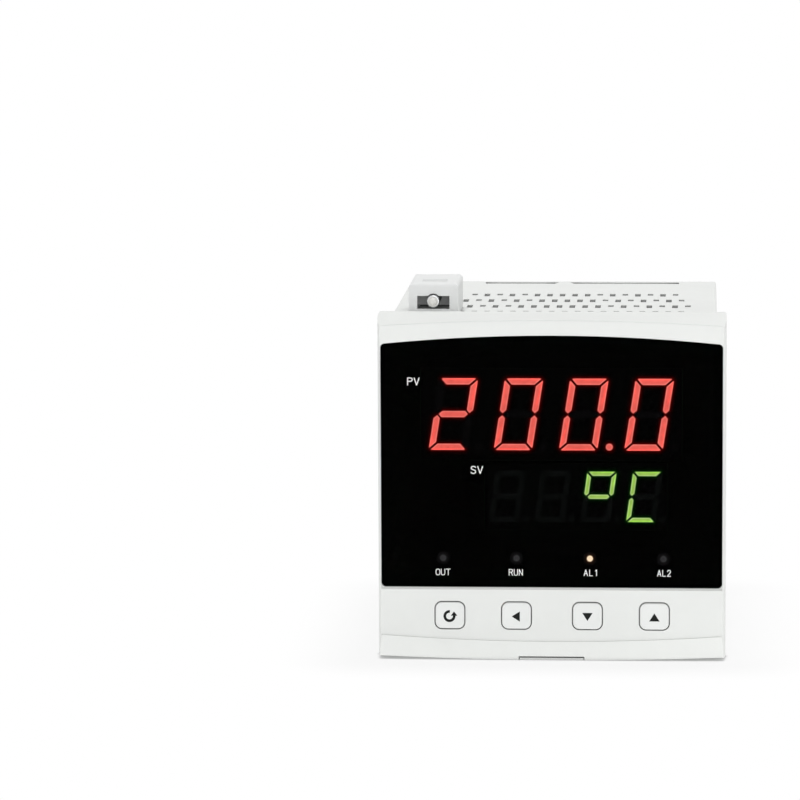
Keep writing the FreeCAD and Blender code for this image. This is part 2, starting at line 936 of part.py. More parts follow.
def surge_disc():
    """The surge absorber: a thick disc on two short legs, drawn as one coated piece."""
    y, z = surge_disc_place
    centre_x = power_face + surge_disc_lift + surge_disc_radius
    disc = rod(surge_disc_radius, span(y, surge_disc_thickness), centre_x, z)
    legs = [
        Part.makeCylinder(
            surge_leg_radius,
            surge_disc_lift + surge_disc_radius,
            V(power_face, y, z + side * surge_leg_spacing / 2.0),
            V(1, 0, 0),
        )
        for side in (-1, 1)
    ]
    return join([disc] + legs)


def line_fuse():
    """A small cartridge fuse with its two end caps, lying on the power board."""
    y, z = fuse_place
    x = power_face + fuse_cap_radius
    start = y - fuse_length / 2.0
    end = y + fuse_length / 2.0
    return join([
        rod(fuse_radius, (start, end), x, z),
        rod(fuse_cap_radius, (start, start + fuse_cap_length), x, z),
        rod(fuse_cap_radius, (end - fuse_cap_length, end), x, z),
    ])


def on_main_board(size, place):
    """A block-shaped part on the inner face of the main board."""
    thick, long, tall = size
    y, z = place
    return block((main_face - thick, main_face), span(y, long), span(z, tall))


def relays():
    """The output and alarm relays, in one row."""
    cans = []
    for place in relay_places:
        can = on_main_board(relay_size, place)
        cans.append(can.makeFillet(relay_edge_radius, edges_along(can, V(1, 0, 0))))
    return group(cans)


def vent_slots():
    """Staggered vent slots through the top wall: long and short in turn, all long in the middle."""
    slots = []
    z_span = (bore_half - root_overlap, housing_half + past)
    for row, columns in enumerate(vent_columns):
        rear = vent_rear_end - row * vent_row_pitch
        first_x = vent_first_x - (row % 2) * vent_pitch / 2.0
        short_turn = 0 if row == 0 else 1
        for column in range(columns):
            x = first_x + column * vent_pitch
            short = column % 2 == short_turn and abs(x - vent_middle_x) > vent_middle_half
            length = vent_short if short else vent_long
            slots.append(block(span(x, vent_width), (rear - length, rear), z_span))
    return slots


def clip_rail():
    """The T-shaped rail on the housing: a web, two caps to hook under, and their end stops."""
    low = housing_half - root_overlap
    web_top = housing_half + rail_web_height
    cap_top = web_top + rail_cap_height
    ends = [clip_front + place + clip_hook_length for place in clip_hook_places]
    x_web = span(clip_centre_x, rail_width)
    x_cap = span(clip_centre_x, rail_cap_width)
    web_span = (ends[0] + rail_gap - rail_cap_length, ends[-1] + rail_gap + rail_stop_length)
    solids = [block(x_web, web_span, (low, web_top))]
    for end in ends:
        stop_start = end + rail_gap
        solids.append(block(x_cap, (stop_start - rail_cap_length, stop_start), (web_top, cap_top)))
        solids.append(block(x_cap, (stop_start, stop_start + rail_stop_length), (low, cap_top)))
    return solids


def card_guides():
    """Ribs inside the top wall that hold the edges of the side boards."""
    ribs = []
    slot = board_thickness / 2.0 + guide_gap
    for sign in (-1, 1):
        for side in (-1, 1):
            inner = sign * side_board_place + side * slot
            x_span = (inner, inner + side * guide_rib)
            z_span = (bore_half - guide_height, bore_half + root_overlap)
            ribs.append(block(x_span, (guide_start, guide_end), z_span))
    return ribs


def housing():
    """The vented sleeve with its panel flange, card guides, clip rails and release tongue."""
    sleeve = rounded_square(housing_half, (-flange_thickness, housing_length), housing_corner_radius)
    flange = rounded_square(half, (-flange_thickness, 0), bezel_corner_radius)
    body = sleeve.fuse(flange)
    body = body.cut(square_block(bore_half, (-flange_thickness - past, housing_length + past)))
    top_side = clip_rail() + card_guides()
    bottom_side = [mirrored_x(mirrored_z(solid)) for solid in clip_rail()]
    bottom_side.extend([mirrored_z(solid) for solid in card_guides()])
    body = body.fuse(top_side + bottom_side + [tongue_prism(tongue_width, 0.0, 0.0)])
    top_cuts = vent_slots()
    body = body.cut(top_cuts + [mirrored_x(mirrored_z(cut)) for cut in top_cuts])
    return body.removeSplitter()


def clip_shell():
    """The clip before it is pierced: a rounded cap, hollow and open below."""
    outer = span(clip_centre_x, clip_width)
    inner = span(clip_centre_x, clip_width - 2.0 * clip_wall)
    body = block(outer, (clip_front, clip_back), (clip_base, clip_top))
    rounded = []
    for edge in edges_along(body, V(0, 1, 0)) + edges_along(body, V(1, 0, 0)):
        if edge.CenterOfMass.z > clip_top - clip_edge_radius:
            rounded.append(edge)
    body = body.makeFillet(clip_edge_radius, rounded)
    hollow = (clip_base - past, clip_top - clip_top_wall)
    return body.cut(block(inner, (clip_front + clip_wall, clip_back - clip_wall), hollow))


def clip_boss():
    """The block across the inside of the clip that the screw is threaded through."""
    start = clip_front + clip_boss_place
    low = housing_half + rail_web_height + rail_cap_height + rail_gap
    z_span = (low, clip_top - clip_top_wall / 2.0)
    return block(span(clip_centre_x, clip_width - clip_wall), (start, start + clip_boss_length), z_span)


def clip_hooks():
    """The four hooks that run under the caps of the rail."""
    hooks = []
    z_span = (clip_base, clip_base + rail_web_height - 2.0 * rail_gap)
    for place in clip_hook_places:
        y_span = (clip_front + place, clip_front + place + clip_hook_length)
        for side in (-1, 1):
            tip = clip_centre_x + side * (rail_width / 2.0 + rail_gap)
            root = clip_centre_x + side * (clip_width / 2.0 - clip_wall / 2.0)
            hooks.append(block((tip, root), y_span, z_span))
    return hooks


def clip_piercings():
    """Front window, thread, the rail notch and driver hole in the rear wall, and the finger grooves."""
    boss_start = clip_front + clip_boss_place
    boss_end = boss_start + clip_boss_length
    rear_wall = clip_back - clip_wall
    run = screw_radius + rail_gap
    front_span = (clip_front - past, clip_front + clip_wall + root_overlap)
    window_z = (clip_base + clip_window_low, clip_base + clip_window_high)
    rail_notch = span(clip_centre_x, rail_cap_width + 2.0 * rail_gap)
    cuts = [
        block(span(clip_centre_x, clip_window_width), front_span, window_z),
        block(rail_notch, (rear_wall, clip_back + past), (clip_base - past, screw_z)),
        rod(run, (clip_front - past, boss_start), clip_centre_x, screw_z),
        rod(screw_radius + screw_fit, (boss_start - past, boss_end + past), clip_centre_x, screw_z),
        rod(run, (boss_end, rear_wall), clip_centre_x, screw_z),
        rod(screw_radius + clip_driver_gap, (rear_wall, clip_back + past), clip_centre_x, screw_z),
    ]
    for number in range(clip_grip_grooves):
        y = clip_front + clip_grip_place + (number - (clip_grip_grooves - 1) / 2.0) * clip_grip_pitch
        groove_z = (clip_top - clip_grip_depth, clip_top + past)
        cuts.append(block(span(clip_centre_x, clip_grip_width), span(y, clip_grip_pitch / 2.0), groove_z))
    return cuts


def mounting_clip():
    """The plastic bracket that pulls the flange against the panel."""
    body = clip_shell().fuse([clip_boss()] + clip_hooks())
    return body.cut(clip_piercings()).removeSplitter()


def clip_screw():
    """The clamping screw: slotted at the rear, threaded through the boss, its neck in the foot."""
    end = screw_tip + screw_length
    shank = rod(screw_radius, (screw_tip, end), clip_centre_x, screw_z)
    neck = rod(screw_neck_radius, (screw_tip - screw_neck_length, screw_tip), clip_centre_x, screw_z)
    slot_z = span(screw_z, 2.0 * (screw_radius + past))
    slot = block(span(clip_centre_x, screw_slot_width), (end - screw_slot_depth, end + past), slot_z)
    return join([shank, neck]).cut(slot)


def clip_foot():
    """The pale foot that the screw presses on the panel; the screw neck turns in it."""
    back = screw_tip - foot_gap
    foot = rod(foot_radius, (back - foot_length, back), clip_centre_x, screw_z)
    foot = foot.makeFillet(foot_tip_radius, edges_at_depth(foot, back - foot_length))
    bore_start = screw_tip - screw_neck_length - foot_gap
    return foot.cut(rod(screw_neck_radius + screw_fit, (bore_start, back + past), clip_centre_x, screw_z))


def edge_sockets():
    """The two sockets that the rear edges of the side boards plug into."""
    slot_inner = side_board_place - board_thickness / 2.0 - tail_board_gap
    slot_outer = tail_outer + tail_slot_gap
    slot_half = plug_half_height + guide_gap
    end_half = slot_half + socket_end_wall
    sockets = []
    for sign in (-1, 1):
        body_x = (sign * (slot_inner - socket_wall), sign * (slot_outer + socket_wall))
        body = block(body_x, (socket_front, housing_length), (-end_half, end_half))
        slot_x = (sign * slot_inner, sign * slot_outer)
        sockets.append(body.cut(block(
            slot_x, (socket_front - past, housing_length + past), (-slot_half, slot_half)
        )))
    return group(sockets)


def rear_slots():
    """The two long slots in the top wall of the rear cover, either side of a bridging tab."""
    start = housing_length + rear_slot_start
    end = start + rear_slot_width
    low = housing_half - cover_wall
    outer_ends = (-bore_half + rear_slot_insets[0], bore_half - rear_slot_insets[1])
    slots = []
    for side, outer, inner in zip((-1, 1), outer_ends, rear_slot_tab):
        points = [
            V(inner, start, low),
            V(outer, start, low),
            V(outer, end, low),
            V(inner - side * rear_slot_slant, end, low),
        ]
        slots.append(polygon_prism(points, V(0, 0, cover_wall + past)))
    return slots


def rear_cover():
    """The moulding that closes the sleeve and carries the terminals."""
    y_start = housing_length
    plate = rounded_square(housing_half, (y_start, cover_plate_back), housing_corner_radius)
    cover_inner = housing_half - cover_wall
    walls = [
        block((-housing_half, housing_half), (y_start, cover_end), (sign * cover_inner, sign * housing_half))
        for sign in (-1, 1)
    ]
    corner_form = rounded_square(housing_half, (y_start, cover_end), housing_corner_radius)
    solids = [plate] + [wall.common(corner_form) for wall in walls]
    spigot = rounded_square(skirt_half, (y_start - spigot_length, y_start), skirt_corner_radius)
    spigot = spigot.cut(square_block(skirt_half - spigot_wall, (y_start - spigot_length - past, y_start)))
    solids.append(spigot)
    barrier_places = [row - terminal_pitch / 2.0 for row in terminal_rows]
    barrier_places.append(terminal_rows[-1] + terminal_pitch / 2.0)
    for sign in (-1, 1):
        x_span = (sign * terminal_strip_inner, sign * housing_half)
        strip_z = span(0.0, terminal_count * terminal_pitch + barrier_thickness)
        solids.append(block(x_span, (cover_plate_back, strip_back), strip_z))
        inner_wall_span = (sign * terminal_strip_inner, sign * (terminal_strip_inner + barrier_thickness))
        solids.append(block(inner_wall_span, (strip_back, cover_end), strip_z))
        for z in barrier_places:
            solids.append(block(x_span, (strip_back, cover_end), span(z, barrier_thickness)))
    body = solids[0].fuse(solids[1:])
    cuts = rear_slots() + [mirrored_x(mirrored_z(slot)) for slot in rear_slots()]
    for sign in (-1, 1):
        for z in terminal_rows:
            hole_span = (strip_back - terminal_screw_length - terminal_end_gap, strip_back + past)
            cuts.append(rod(terminal_hole_radius, hole_span, sign * terminal_screw_place, z))
            tail_x = (sign * (tail_inner - tail_slot_gap), sign * (tail_outer + tail_slot_gap))
            tail_z = span(z, tail_width + 2.0 * tail_slot_gap)
            cuts.append(block(tail_x, (y_start - past, strip_back + past), tail_z))
    return body.cut(cuts).removeSplitter()


def terminal_plates():
    """Twenty contact strips: a plate under each screw and a tail into the edge socket."""
    plates = []
    for sign in (-1, 1):
        for z in terminal_rows:
            plate_x = (sign * tail_inner, sign * terminal_plate_outer)
            plate = block(plate_x, (strip_back, plate_back), span(z, terminal_plate_width))
            tail_x = (sign * tail_inner, sign * tail_outer)
            tail = block(tail_x, (housing_length - tail_reach, plate_back), span(z, tail_width))
            hole_span = (strip_back - past, plate_back + past)
            hole = rod(terminal_hole_radius, hole_span, sign * terminal_screw_place, z)
            plates.append(join([plate, tail]).cut(hole))
    return group(plates)


def terminal_screws():
    """The pan-head terminal screws, each with a straight slot."""
    screws = []
    for sign in (-1, 1):
        for z in terminal_rows:
            x = sign * terminal_screw_place
            head_end = plate_back + terminal_head_height
            head = rod(terminal_head_radius, (plate_back, head_end), x, z)
            shank = rod(terminal_screw_radius, (strip_back - terminal_screw_length, plate_back), x, z)
            slot_x = span(x, 2.0 * terminal_head_radius)
            slot_span = (head_end - terminal_slot_depth, head_end + past)
            slot = block(slot_x, slot_span, span(z, terminal_slot_width))
            screws.append(join([head, shank]).cut(slot))
    return group(screws)


def all_nodes():
    """Every piece of the controller under its node name."""
    pv_centre = (pv_centre_x, pv_centre_z)
    sv_centre = (sv_centre_x, sv_centre_z)
    pv_lit, pv_unlit = read_out(pv_text, pv_centre, pv_pitch, pv_digit, pv_stroke, pv_slant_deg)
    sv_lit, sv_unlit = read_out(sv_text, sv_centre, sv_pitch, sv_digit, sv_stroke, sv_slant_deg)
    lit_guides = [light_guide(x) for x, lit in zip(light_places, light_states) if lit]
    unlit_guides = [light_guide(x) for x, lit in zip(light_places, light_states) if not lit]
    nodes = {
        "front_bezel": front_bezel(),
        "display_window": display_window(),
        "display_mask": display_mask(),
        "pv_display": display_body(pv_centre_x, pv_centre_z, pv_body_width, pv_body_height),
        "pv_segments_lit": pv_lit,
        "pv_segments_unlit": pv_unlit,
        "sv_display": display_body(sv_centre_x, sv_centre_z, sv_body_width, sv_body_height),
        "sv_segments_lit": sv_lit,
        "sv_segments_unlit": sv_unlit,
        "light_guides": group(unlit_guides),
        "light_guide_lit": group(lit_guides),
        "indicator_leds": indicator_leds(),
        "switch_bodies": group([switch_body(x) for x in key_places]),
        "front_board": front_board(),
        "board_screws": board_screws(),
        "board_headers": board_headers(),
        "power_board": side_board(-1),
        "main_board": side_board(1),
        "rear_bridge": rear_bridge(),
        "transformer_core": transformer_core(),
        "transformer_bobbin": transformer_bobbin(),
        "input_capacitor": input_capacitor(),
        "output_capacitors": output_capacitors(),
        "surge_disc": surge_disc(),
        "line_fuse": line_fuse(),
        "relays": relays(),
        "controller_chip": on_main_board(controller_chip_size, controller_chip_place),
        "converter_chip": on_main_board(converter_chip_size, converter_chip_place),
        "housing": housing(),
        "rear_cover": rear_cover(),
        "edge_sockets": edge_sockets(),
        "terminal_plates": terminal_plates(),
        "terminal_screws": terminal_screws(),
        "mounting_clip": mounting_clip(),
        "clip_screw": clip_screw(),
        "clip_foot": clip_foot(),
    }
    for name, x in zip(key_names, key_places):
        nodes["key_" + name] = key_cap(x)
        nodes["plunger_" + name] = switch_plunger(x)
    return nodes


os.makedirs("parts", exist_ok=True)
for node_name, node_shape in all_nodes().items():
    node_shape.exportStep("parts/" + node_name + ".step")
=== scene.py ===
import logging
import math
from dataclasses import dataclass, field
from enum import Enum
from functools import cache

import bmesh
import bpy
from mathutils import Matrix, Vector
from mathutils.bvhtree import BVHTree


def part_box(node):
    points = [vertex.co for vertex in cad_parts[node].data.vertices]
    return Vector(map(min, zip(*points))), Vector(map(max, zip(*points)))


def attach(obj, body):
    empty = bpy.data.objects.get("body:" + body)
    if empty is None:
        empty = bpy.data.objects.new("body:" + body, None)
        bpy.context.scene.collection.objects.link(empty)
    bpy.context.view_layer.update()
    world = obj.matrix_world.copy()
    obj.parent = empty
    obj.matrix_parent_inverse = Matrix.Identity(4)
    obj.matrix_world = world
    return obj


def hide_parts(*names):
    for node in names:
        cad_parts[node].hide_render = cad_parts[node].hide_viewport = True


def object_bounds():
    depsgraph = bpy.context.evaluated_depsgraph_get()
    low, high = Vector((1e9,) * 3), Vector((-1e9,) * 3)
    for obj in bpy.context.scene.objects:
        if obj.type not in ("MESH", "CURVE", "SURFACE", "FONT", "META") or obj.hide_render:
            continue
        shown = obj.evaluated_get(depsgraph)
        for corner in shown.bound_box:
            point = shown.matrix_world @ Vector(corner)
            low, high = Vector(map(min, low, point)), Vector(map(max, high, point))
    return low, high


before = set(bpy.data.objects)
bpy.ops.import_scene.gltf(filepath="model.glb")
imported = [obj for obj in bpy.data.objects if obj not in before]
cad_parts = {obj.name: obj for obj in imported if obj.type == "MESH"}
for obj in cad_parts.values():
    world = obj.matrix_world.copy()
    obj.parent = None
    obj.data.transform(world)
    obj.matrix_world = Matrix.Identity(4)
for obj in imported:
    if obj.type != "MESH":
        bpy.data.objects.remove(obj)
CAD_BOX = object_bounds()

MM = 0.001
LOG = logging.getLogger("controller")

Point = tuple[float, float, float]
Colour = tuple[float, float, float]
Flat = tuple[float, float]


# ---------------------------------------------------------------------------
# Node trees
# ---------------------------------------------------------------------------


@dataclass
class Bench:
    """A place to lay out nodes in one tree.

    Args:
        tree: The node tree that the nodes go into.
    """

    tree: bpy.types.NodeTree

    def add(self, kind: str, feeds: dict | None = None, **settings: object) -> bpy.types.Node:
        """Add one node and wire or set its inputs.

        Args:
            kind: The node's type name.
            feeds: Input name or number to a value, or to the output socket that feeds it.
            settings: Attributes of the node itself.

        Returns:
            The new node.
        """
        node = self.tree.nodes.new(kind)
        for name, value in settings.items():
            setattr(node, name, value)
        for name, value in (feeds or {}).items():
            if isinstance(value, bpy.types.NodeSocket):
                self.wire(value, node.inputs[name])
            else:
                node.inputs[name].default_value = value
        return node

    def wire(self, source: bpy.types.NodeSocket, target: bpy.types.NodeSocket) -> None:
        """Feed one socket from another."""
        self.tree.links.new(source, target)

    def calc(self, operation: str, *values: object) -> bpy.types.NodeSocket:
        """Do one step of arithmetic.

        Args:
            operation: The name of the operation.
            values: Numbers or output sockets.

        Returns:
            The result's socket.
        """
        return self.add("ShaderNodeMath", dict(enumerate(values)), operation=operation).outputs[0]

    def noise(
        self, place: bpy.types.NodeSocket, size: float, detail: float = 2.0
    ) -> bpy.types.NodeSocket:
        """A smooth noise from 0 to 1.

        Args:
            place: The vector that it reads.
            size: The size of a grain in metres.
            detail: How many finer layers it has.

        Returns:
            The value's socket.
        """
        feeds = {"Vector": place, "Scale": 1.0 / size, "Detail": detail}
        return self.add("ShaderNodeTexNoise", feeds).outputs["Fac"]

    def vector(self, operation: str, *values: object) -> bpy.types.NodeSocket:
        """Do one step of vector arithmetic that ends in a vector."""
        return self.add(
            "ShaderNodeVectorMath", dict(enumerate(values)), operation=operation
        ).outputs[0]

    def remap(
        self, value: bpy.types.NodeSocket, *span: object, kind: str = "LINEAR"
    ) -> bpy.types.NodeSocket:
        """Map one range onto another.

        Args:
            value: What is mapped.
            span: The range's ends before, and then its ends after.
            kind: How it runs from one end to the other.

        Returns:
            The mapped value's socket.
        """
        feeds = dict(zip(("Value", "From Min", "From Max", "To Min", "To Max"), (value, *span)))
        return self.add("ShaderNodeMapRange", feeds, interpolation_type=kind).outputs["Result"]

    def spread(
        self, value: bpy.types.NodeSocket, low: object, high: object
    ) -> bpy.types.NodeSocket:
        """Stretch the middle of a noise over a range.

        Args:
            value: A noise from 0 to 1.
            low: What its low part becomes.
            high: What its high part becomes.

        Returns:
            The stretched value's socket.
        """
        return self.remap(value, NOISE_LOW, NOISE_HIGH, low, high)

    def blend(self, share: object, first: object, second: object) -> bpy.types.NodeSocket:
        """Mix two colours.

        Args:
            share: How much of the second one shows, from 0 to 1.
            first: A colour with alpha, or a socket.
            second: A colour with alpha, or a socket.

        Returns:
            The mixed colour's socket.
        """
        return self.add(
            "ShaderNodeMix", {0: share, 6: first, 7: second}, data_type="RGBA"
        ).outputs[2]

    def scaled(
        self, colour: bpy.types.NodeSocket, by: bpy.types.NodeSocket
    ) -> bpy.types.NodeSocket:
        """Multiply a colour by a number.

        Args:
            colour: The colour's socket.
            by: The number's socket.

        Returns:
            The scaled colour's socket.
        """
        return self.add(
            "ShaderNodeVectorMath", {0: colour, "Scale": by}, operation="SCALE"
        ).outputs[0]


def group_tree(
    name: str, inputs: dict[str, str], outputs: dict[str, str]
) -> tuple[Bench, dict, dict]:
    """Start a shader node group with named sockets.

    Args:
        name: The group's name.
        inputs: Input name to socket type.
        outputs: Output name to socket type.

    Returns:
        The bench, the group's inputs inside it, and its output node's sockets.
    """
    tree = bpy.data.node_groups.new(name, "ShaderNodeTree")
    for side, sockets in (("INPUT", inputs), ("OUTPUT", outputs)):
        for label, kind in sockets.items():
            tree.interface.new_socket(label, in_out=side, socket_type=kind)
    bench = Bench(tree)
    return bench, bench.add("NodeGroupInput").outputs, bench.add("NodeGroupOutput").inputs


VALUE = "NodeSocketFloat"
COLOUR = "NodeSocketColor"
VECTOR = "NodeSocketVector"
GLOW = "glow"

# Between these two lie nearly all of a noise's values.
NOISE_LOW = 0.3
NOISE_HIGH = 0.7

# The lengths, in metres, of the slow and quick changes of tone, of a patch of wear and painted
# highlight, and of dust.
FLOW_LENGTH = 0.045
CLOUD_LENGTH = 0.004
WEAR_AND_HIGHLIGHT_LENGTH = 0.0015
DUST_LENGTH = 0.0011
DUST_GREY = (0.5, 0.48, 0.45, 1.0)

# How much finer the pits of a mould's grain are than its swell, and how deep against it.
PIT_FINENESS = 2.7
PIT_DEPTH = 0.5

# How fast wear and the painted highlight come on as an edge gets sharper.
WEAR_AND_HIGHLIGHT_GAIN = 4.0


def blank_material(name: str) -> tuple[bpy.types.Material, Bench]:
    """A new material with no nodes, and its bench."""
    material = bpy.data.materials.new(name)
    material.use_nodes = True
    material.node_tree.nodes.clear()
    return material, Bench(material.node_tree)


def placed(name: str, data: bpy.types.ID) -> bpy.types.Object:
    """Put new data into the scene as an object."""
    holder = bpy.data.objects.new(name, data)
    bpy.context.collection.objects.link(holder)
    return holder


class SharedEffects:
    """The shader groups that several finishes use, each made once."""

    @staticmethod
    @cache
    def grain() -> bpy.types.NodeTree:
        """The spark-eroded grain of a mould: fine pits over a faint broader swell."""
        bench, given, result = group_tree(
            "mould_grain", {"Place": VECTOR, "Scale": VALUE}, {"Height": VALUE}
        )
        coarse = bench.add(
            "ShaderNodeTexNoise", {"Vector": given["Place"], "Scale": given["Scale"], "Detail": 3.0}
        )
        finer = bench.calc("MULTIPLY", given["Scale"], PIT_FINENESS)
        pits = bench.add("ShaderNodeTexVoronoi", {"Vector": given["Place"], "Scale": finer})
        pitted = bench.calc("MULTIPLY", pits.outputs["Distance"], PIT_DEPTH)
        bench.wire(bench.calc("ADD", coarse.outputs["Fac"], pitted), result["Height"])
        return bench.tree

    @staticmethod
    @cache
    def tone() -> bpy.types.NodeTree:
        """Slow changes of tone over a moulding, as the melt flowed and cooled."""
        inputs = {"Place": VECTOR, "Colour": COLOUR, "Amount": VALUE}
        bench, given, result = group_tree("flow_tone", inputs, {"Colour": COLOUR})
        broad = bench.noise(given["Place"], FLOW_LENGTH, 2.0)
        fine = bench.noise(given["Place"], CLOUD_LENGTH, 3.0)
        both = bench.calc(
            "ADD", bench.calc("MULTIPLY", broad, 0.7), bench.calc("MULTIPLY", fine, 0.3)
        )
        low = bench.calc("SUBTRACT", 1.0, given["Amount"])
        high = bench.calc("ADD", 1.0, bench.calc("MULTIPLY", given["Amount"], 0.5))
        level = bench.spread(both, low, high)
        bench.wire(bench.scaled(given["Colour"], level), result["Colour"])
        return bench.tree

    @staticmethod
    @cache
    def worn_and_highlit_edges() -> bpy.types.NodeTree:
        """A mask of the outer edges, which hands polish first and where a painted highlight goes.
        """
        bench, given, result = group_tree(
            "worn_and_highlit_edges", {"Place": VECTOR, "Width": VALUE}, {"Mask": VALUE}
        )
        soft = bench.add("ShaderNodeBevel", {"Radius": given["Width"]}, samples=4)
        true = bench.add("ShaderNodeNewGeometry")
        meet = bench.add(
            "ShaderNodeVectorMath",
            {0: soft.outputs[0], 1: true.outputs["True Normal"]},
            operation="DOT_PRODUCT",
        )
        bend = bench.calc("SUBTRACT", 1.0, meet.outputs["Value"])
        patchy = bench.spread(bench.noise(given["Place"], WEAR_AND_HIGHLIGHT_LENGTH), 0.5, 1.0)
        mask = bench.add(
            "ShaderNodeMath",
            {0: bench.calc("MULTIPLY", bend, WEAR_AND_HIGHLIGHT_GAIN), 1: patchy},
            operation="MULTIPLY",
            use_clamp=True,
        )
        bench.wire(mask.outputs[0], result["Mask"])
        return bench.tree

    @staticmethod
    @cache
    def dust() -> bpy.types.NodeTree:
        """A trace of dust that settles on what faces up."""
        inputs = {"Place": VECTOR, "Colour": COLOUR, "Amount": VALUE}
        bench, given, result = group_tree("settled_dust", inputs, {"Colour": COLOUR})
        normal = bench.add("ShaderNodeNewGeometry").outputs["Normal"]
        up = bench.add("ShaderNodeSeparateXYZ", {0: normal}).outputs["Z"]
        facing = bench.calc("MAXIMUM", up, 0.0)
        patchy = bench.spread(bench.noise(given["Place"], DUST_LENGTH, 4.0), 0.0, 1.0)
        amount = bench.calc("MULTIPLY", bench.calc("MULTIPLY", facing, patchy), given["Amount"])
        out = bench.blend(amount, given["Colour"], DUST_GREY)
        bench.wire(out, result["Colour"])
        return bench.tree

    @staticmethod
    @cache
    def recess() -> bpy.types.NodeTree:
        """A mask for painted shade: how closed in a surface is, 0 in the open and 1 deep in a slot.
        """
        bench, given, result = group_tree(
            "recess_shade_mask", {"Reach": VALUE, "Open": VALUE, "Closed": VALUE}, {"Mask": VALUE}
        )
        open_share = bench.add(
            "ShaderNodeAmbientOcclusion", {"Distance": given["Reach"]}, samples=8
        ).outputs["AO"]
        mask = bench.remap(open_share, given["Open"], given["Closed"], 0.0, 1.0)
        bench.wire(mask, result["Mask"])
        return bench.tree


# ---------------------------------------------------------------------------
# Finishes
# ---------------------------------------------------------------------------


@dataclass(frozen=True)
class Finish:
    """What every finish shares: its name and the start of its material.

    Args:
        name: The material's name.
        colour: The base colour, linear.
        roughness: The mean roughness.
        shine: The specular level.
    """

    name: str
    colour: Colour = (0.8, 0.8, 0.8)
    roughness: float = 0.45
    shine: float = 0.5

    def start(self) -> tuple[bpy.types.Material, Bench, bpy.types.Node, bpy.types.NodeSocket]:
        """Make an empty node material with its shader and its coordinates.

        Returns:
            The material, its bench, the Principled node and the Object coordinates.
        """
        material, bench = blank_material(self.name)
        feeds = {
            "Base Color": (*self.colour, 1.0),
            "Roughness": self.roughness,
            "Specular IOR Level": self.shine,
        }
        shader = bench.add("ShaderNodeBsdfPrincipled", feeds)
        bench.add("ShaderNodeOutputMaterial", {"Surface": shader.outputs[0]})
        place = bench.add("ShaderNodeTexCoord").outputs["Object"]
        return material, bench, shader, place

    def group(self, bench: Bench, tree: bpy.types.NodeTree, feeds: dict) -> bpy.types.Node:
        """Put one shared effect into a material.

        Args:
            bench: The material's bench.
            tree: The effect's group.
            feeds: The group's inputs.

        Returns:
            The group node.
        """
        return bench.add("ShaderNodeGroup", feeds, node_tree=tree)

    def toned(
        self, bench: Bench, place: bpy.types.NodeSocket, amount: float
    ) -> bpy.types.NodeSocket:
        """The base colour with slow changes of tone.

        Args:
            bench: The material's bench.
            place: The coordinates.
            amount: How much the tone changes.

        Returns:
            The colour's socket.
        """
        feeds = {"Place": place, "Colour": (*self.colour, 1.0), "Amount": amount}
        return self.group(bench, SharedEffects.tone(), feeds).outputs["Colour"]

    def bumped(
        self, bench: Bench, shader: bpy.types.Node, height: bpy.types.NodeSocket, depth: float
    ) -> None:
        """Give a shader a bump from a height.

        Args:
            bench: The material's bench.
            shader: The Principled node.
            height: The height's socket.
            depth: How far a height of one stands out, in metres.
        """
        bump = bench.add("ShaderNodeBump", {"Height": height, "Distance": depth, "Strength": 1.0})
        bench.wire(bump.outputs["Normal"], shader.inputs["Normal"])


@dataclass(frozen=True)
class MouldedPlastic(Finish):
    """An opaque moulding with grain, slow changes of tone, polished edges with a painted highlight,
    painted shade in its slots and a trace of dust.

    Args:
        grain: The size of a grain in metres.
        depth: How deep the grain is in metres.
        tone: How much the tone changes.
        edge_highlight: How much lighter the edges are painted, as a painted highlight.
        dust: How much dust lies on it.
        recess: How much painted shade darkens it deep in its slots.
        shade_reach: How far a wall casts painted shade on its neighbour, in metres.
        shade_from: The open share of the view at which the painted shade starts.
        shade_to: The open share at which the painted shade is darkest.
        edge_width: How wide the worn and highlit edges are, in metres.
        patch: The size of a glossier patch, in metres.
        patch_swing: How much the roughness differs over the patches.
        polish: How much smoother the worn edges are.
    """

    grain: float = 0.00035
    depth: float = 0.000006
    tone: float = 0.03
    edge_highlight: float = 0.06
    dust: float = 0.02
    recess: float = 0.0
    shade_reach: float = 0.004
    shade_from: float = 0.68
    shade_to: float = 0.3
    edge_width: float = 0.0004
    patch: float = 0.006
    patch_swing: float = 0.05
    polish: float = 0.08

    def material(self) -> bpy.types.Material:
        """Build the material."""
        material, bench, shader, place = self.start()
        effects = SharedEffects
        toned = self.toned(bench, place, self.tone)
        edges = self.group(bench, effects.worn_and_highlit_edges(), {"Place": place, "Width": self.edge_width})
        # Painted highlight: the edges are made lighter.
        lift = bench.calc("ADD", 1.0, bench.calc("MULTIPLY", edges.outputs["Mask"], self.edge_highlight))
        # Painted shade: the colour darkens where the surface is closed in, as in slots and gaps.
        if self.recess:
            span = {"Reach": self.shade_reach, "Open": self.shade_from, "Closed": self.shade_to}
            deep = self.group(bench, effects.recess(), span)
            kept = bench.calc(
                "SUBTRACT", 1.0, bench.calc("MULTIPLY", deep.outputs["Mask"], self.recess)
            )
            lift = bench.calc("MULTIPLY", lift, kept)
        lit = bench.scaled(toned, lift)
        dusty = self.group(
            bench, effects.dust(), {"Place": place, "Colour": lit, "Amount": self.dust}
        )
        bench.wire(dusty.outputs["Colour"], shader.inputs["Base Color"])
        low, high = self.roughness - self.patch_swing, self.roughness + self.patch_swing
        patch = bench.spread(bench.noise(place, self.patch, 3.0), low, high)
        polished = bench.calc(
            "SUBTRACT", patch, bench.calc("MULTIPLY", edges.outputs["Mask"], self.polish)
        )
        bench.wire(polished, shader.inputs["Roughness"])
        grain = self.group(bench, effects.grain(), {"Place": place, "Scale": 1.0 / self.grain})
        self.bumped(bench, shader, grain.outputs["Height"], self.depth)
        return material


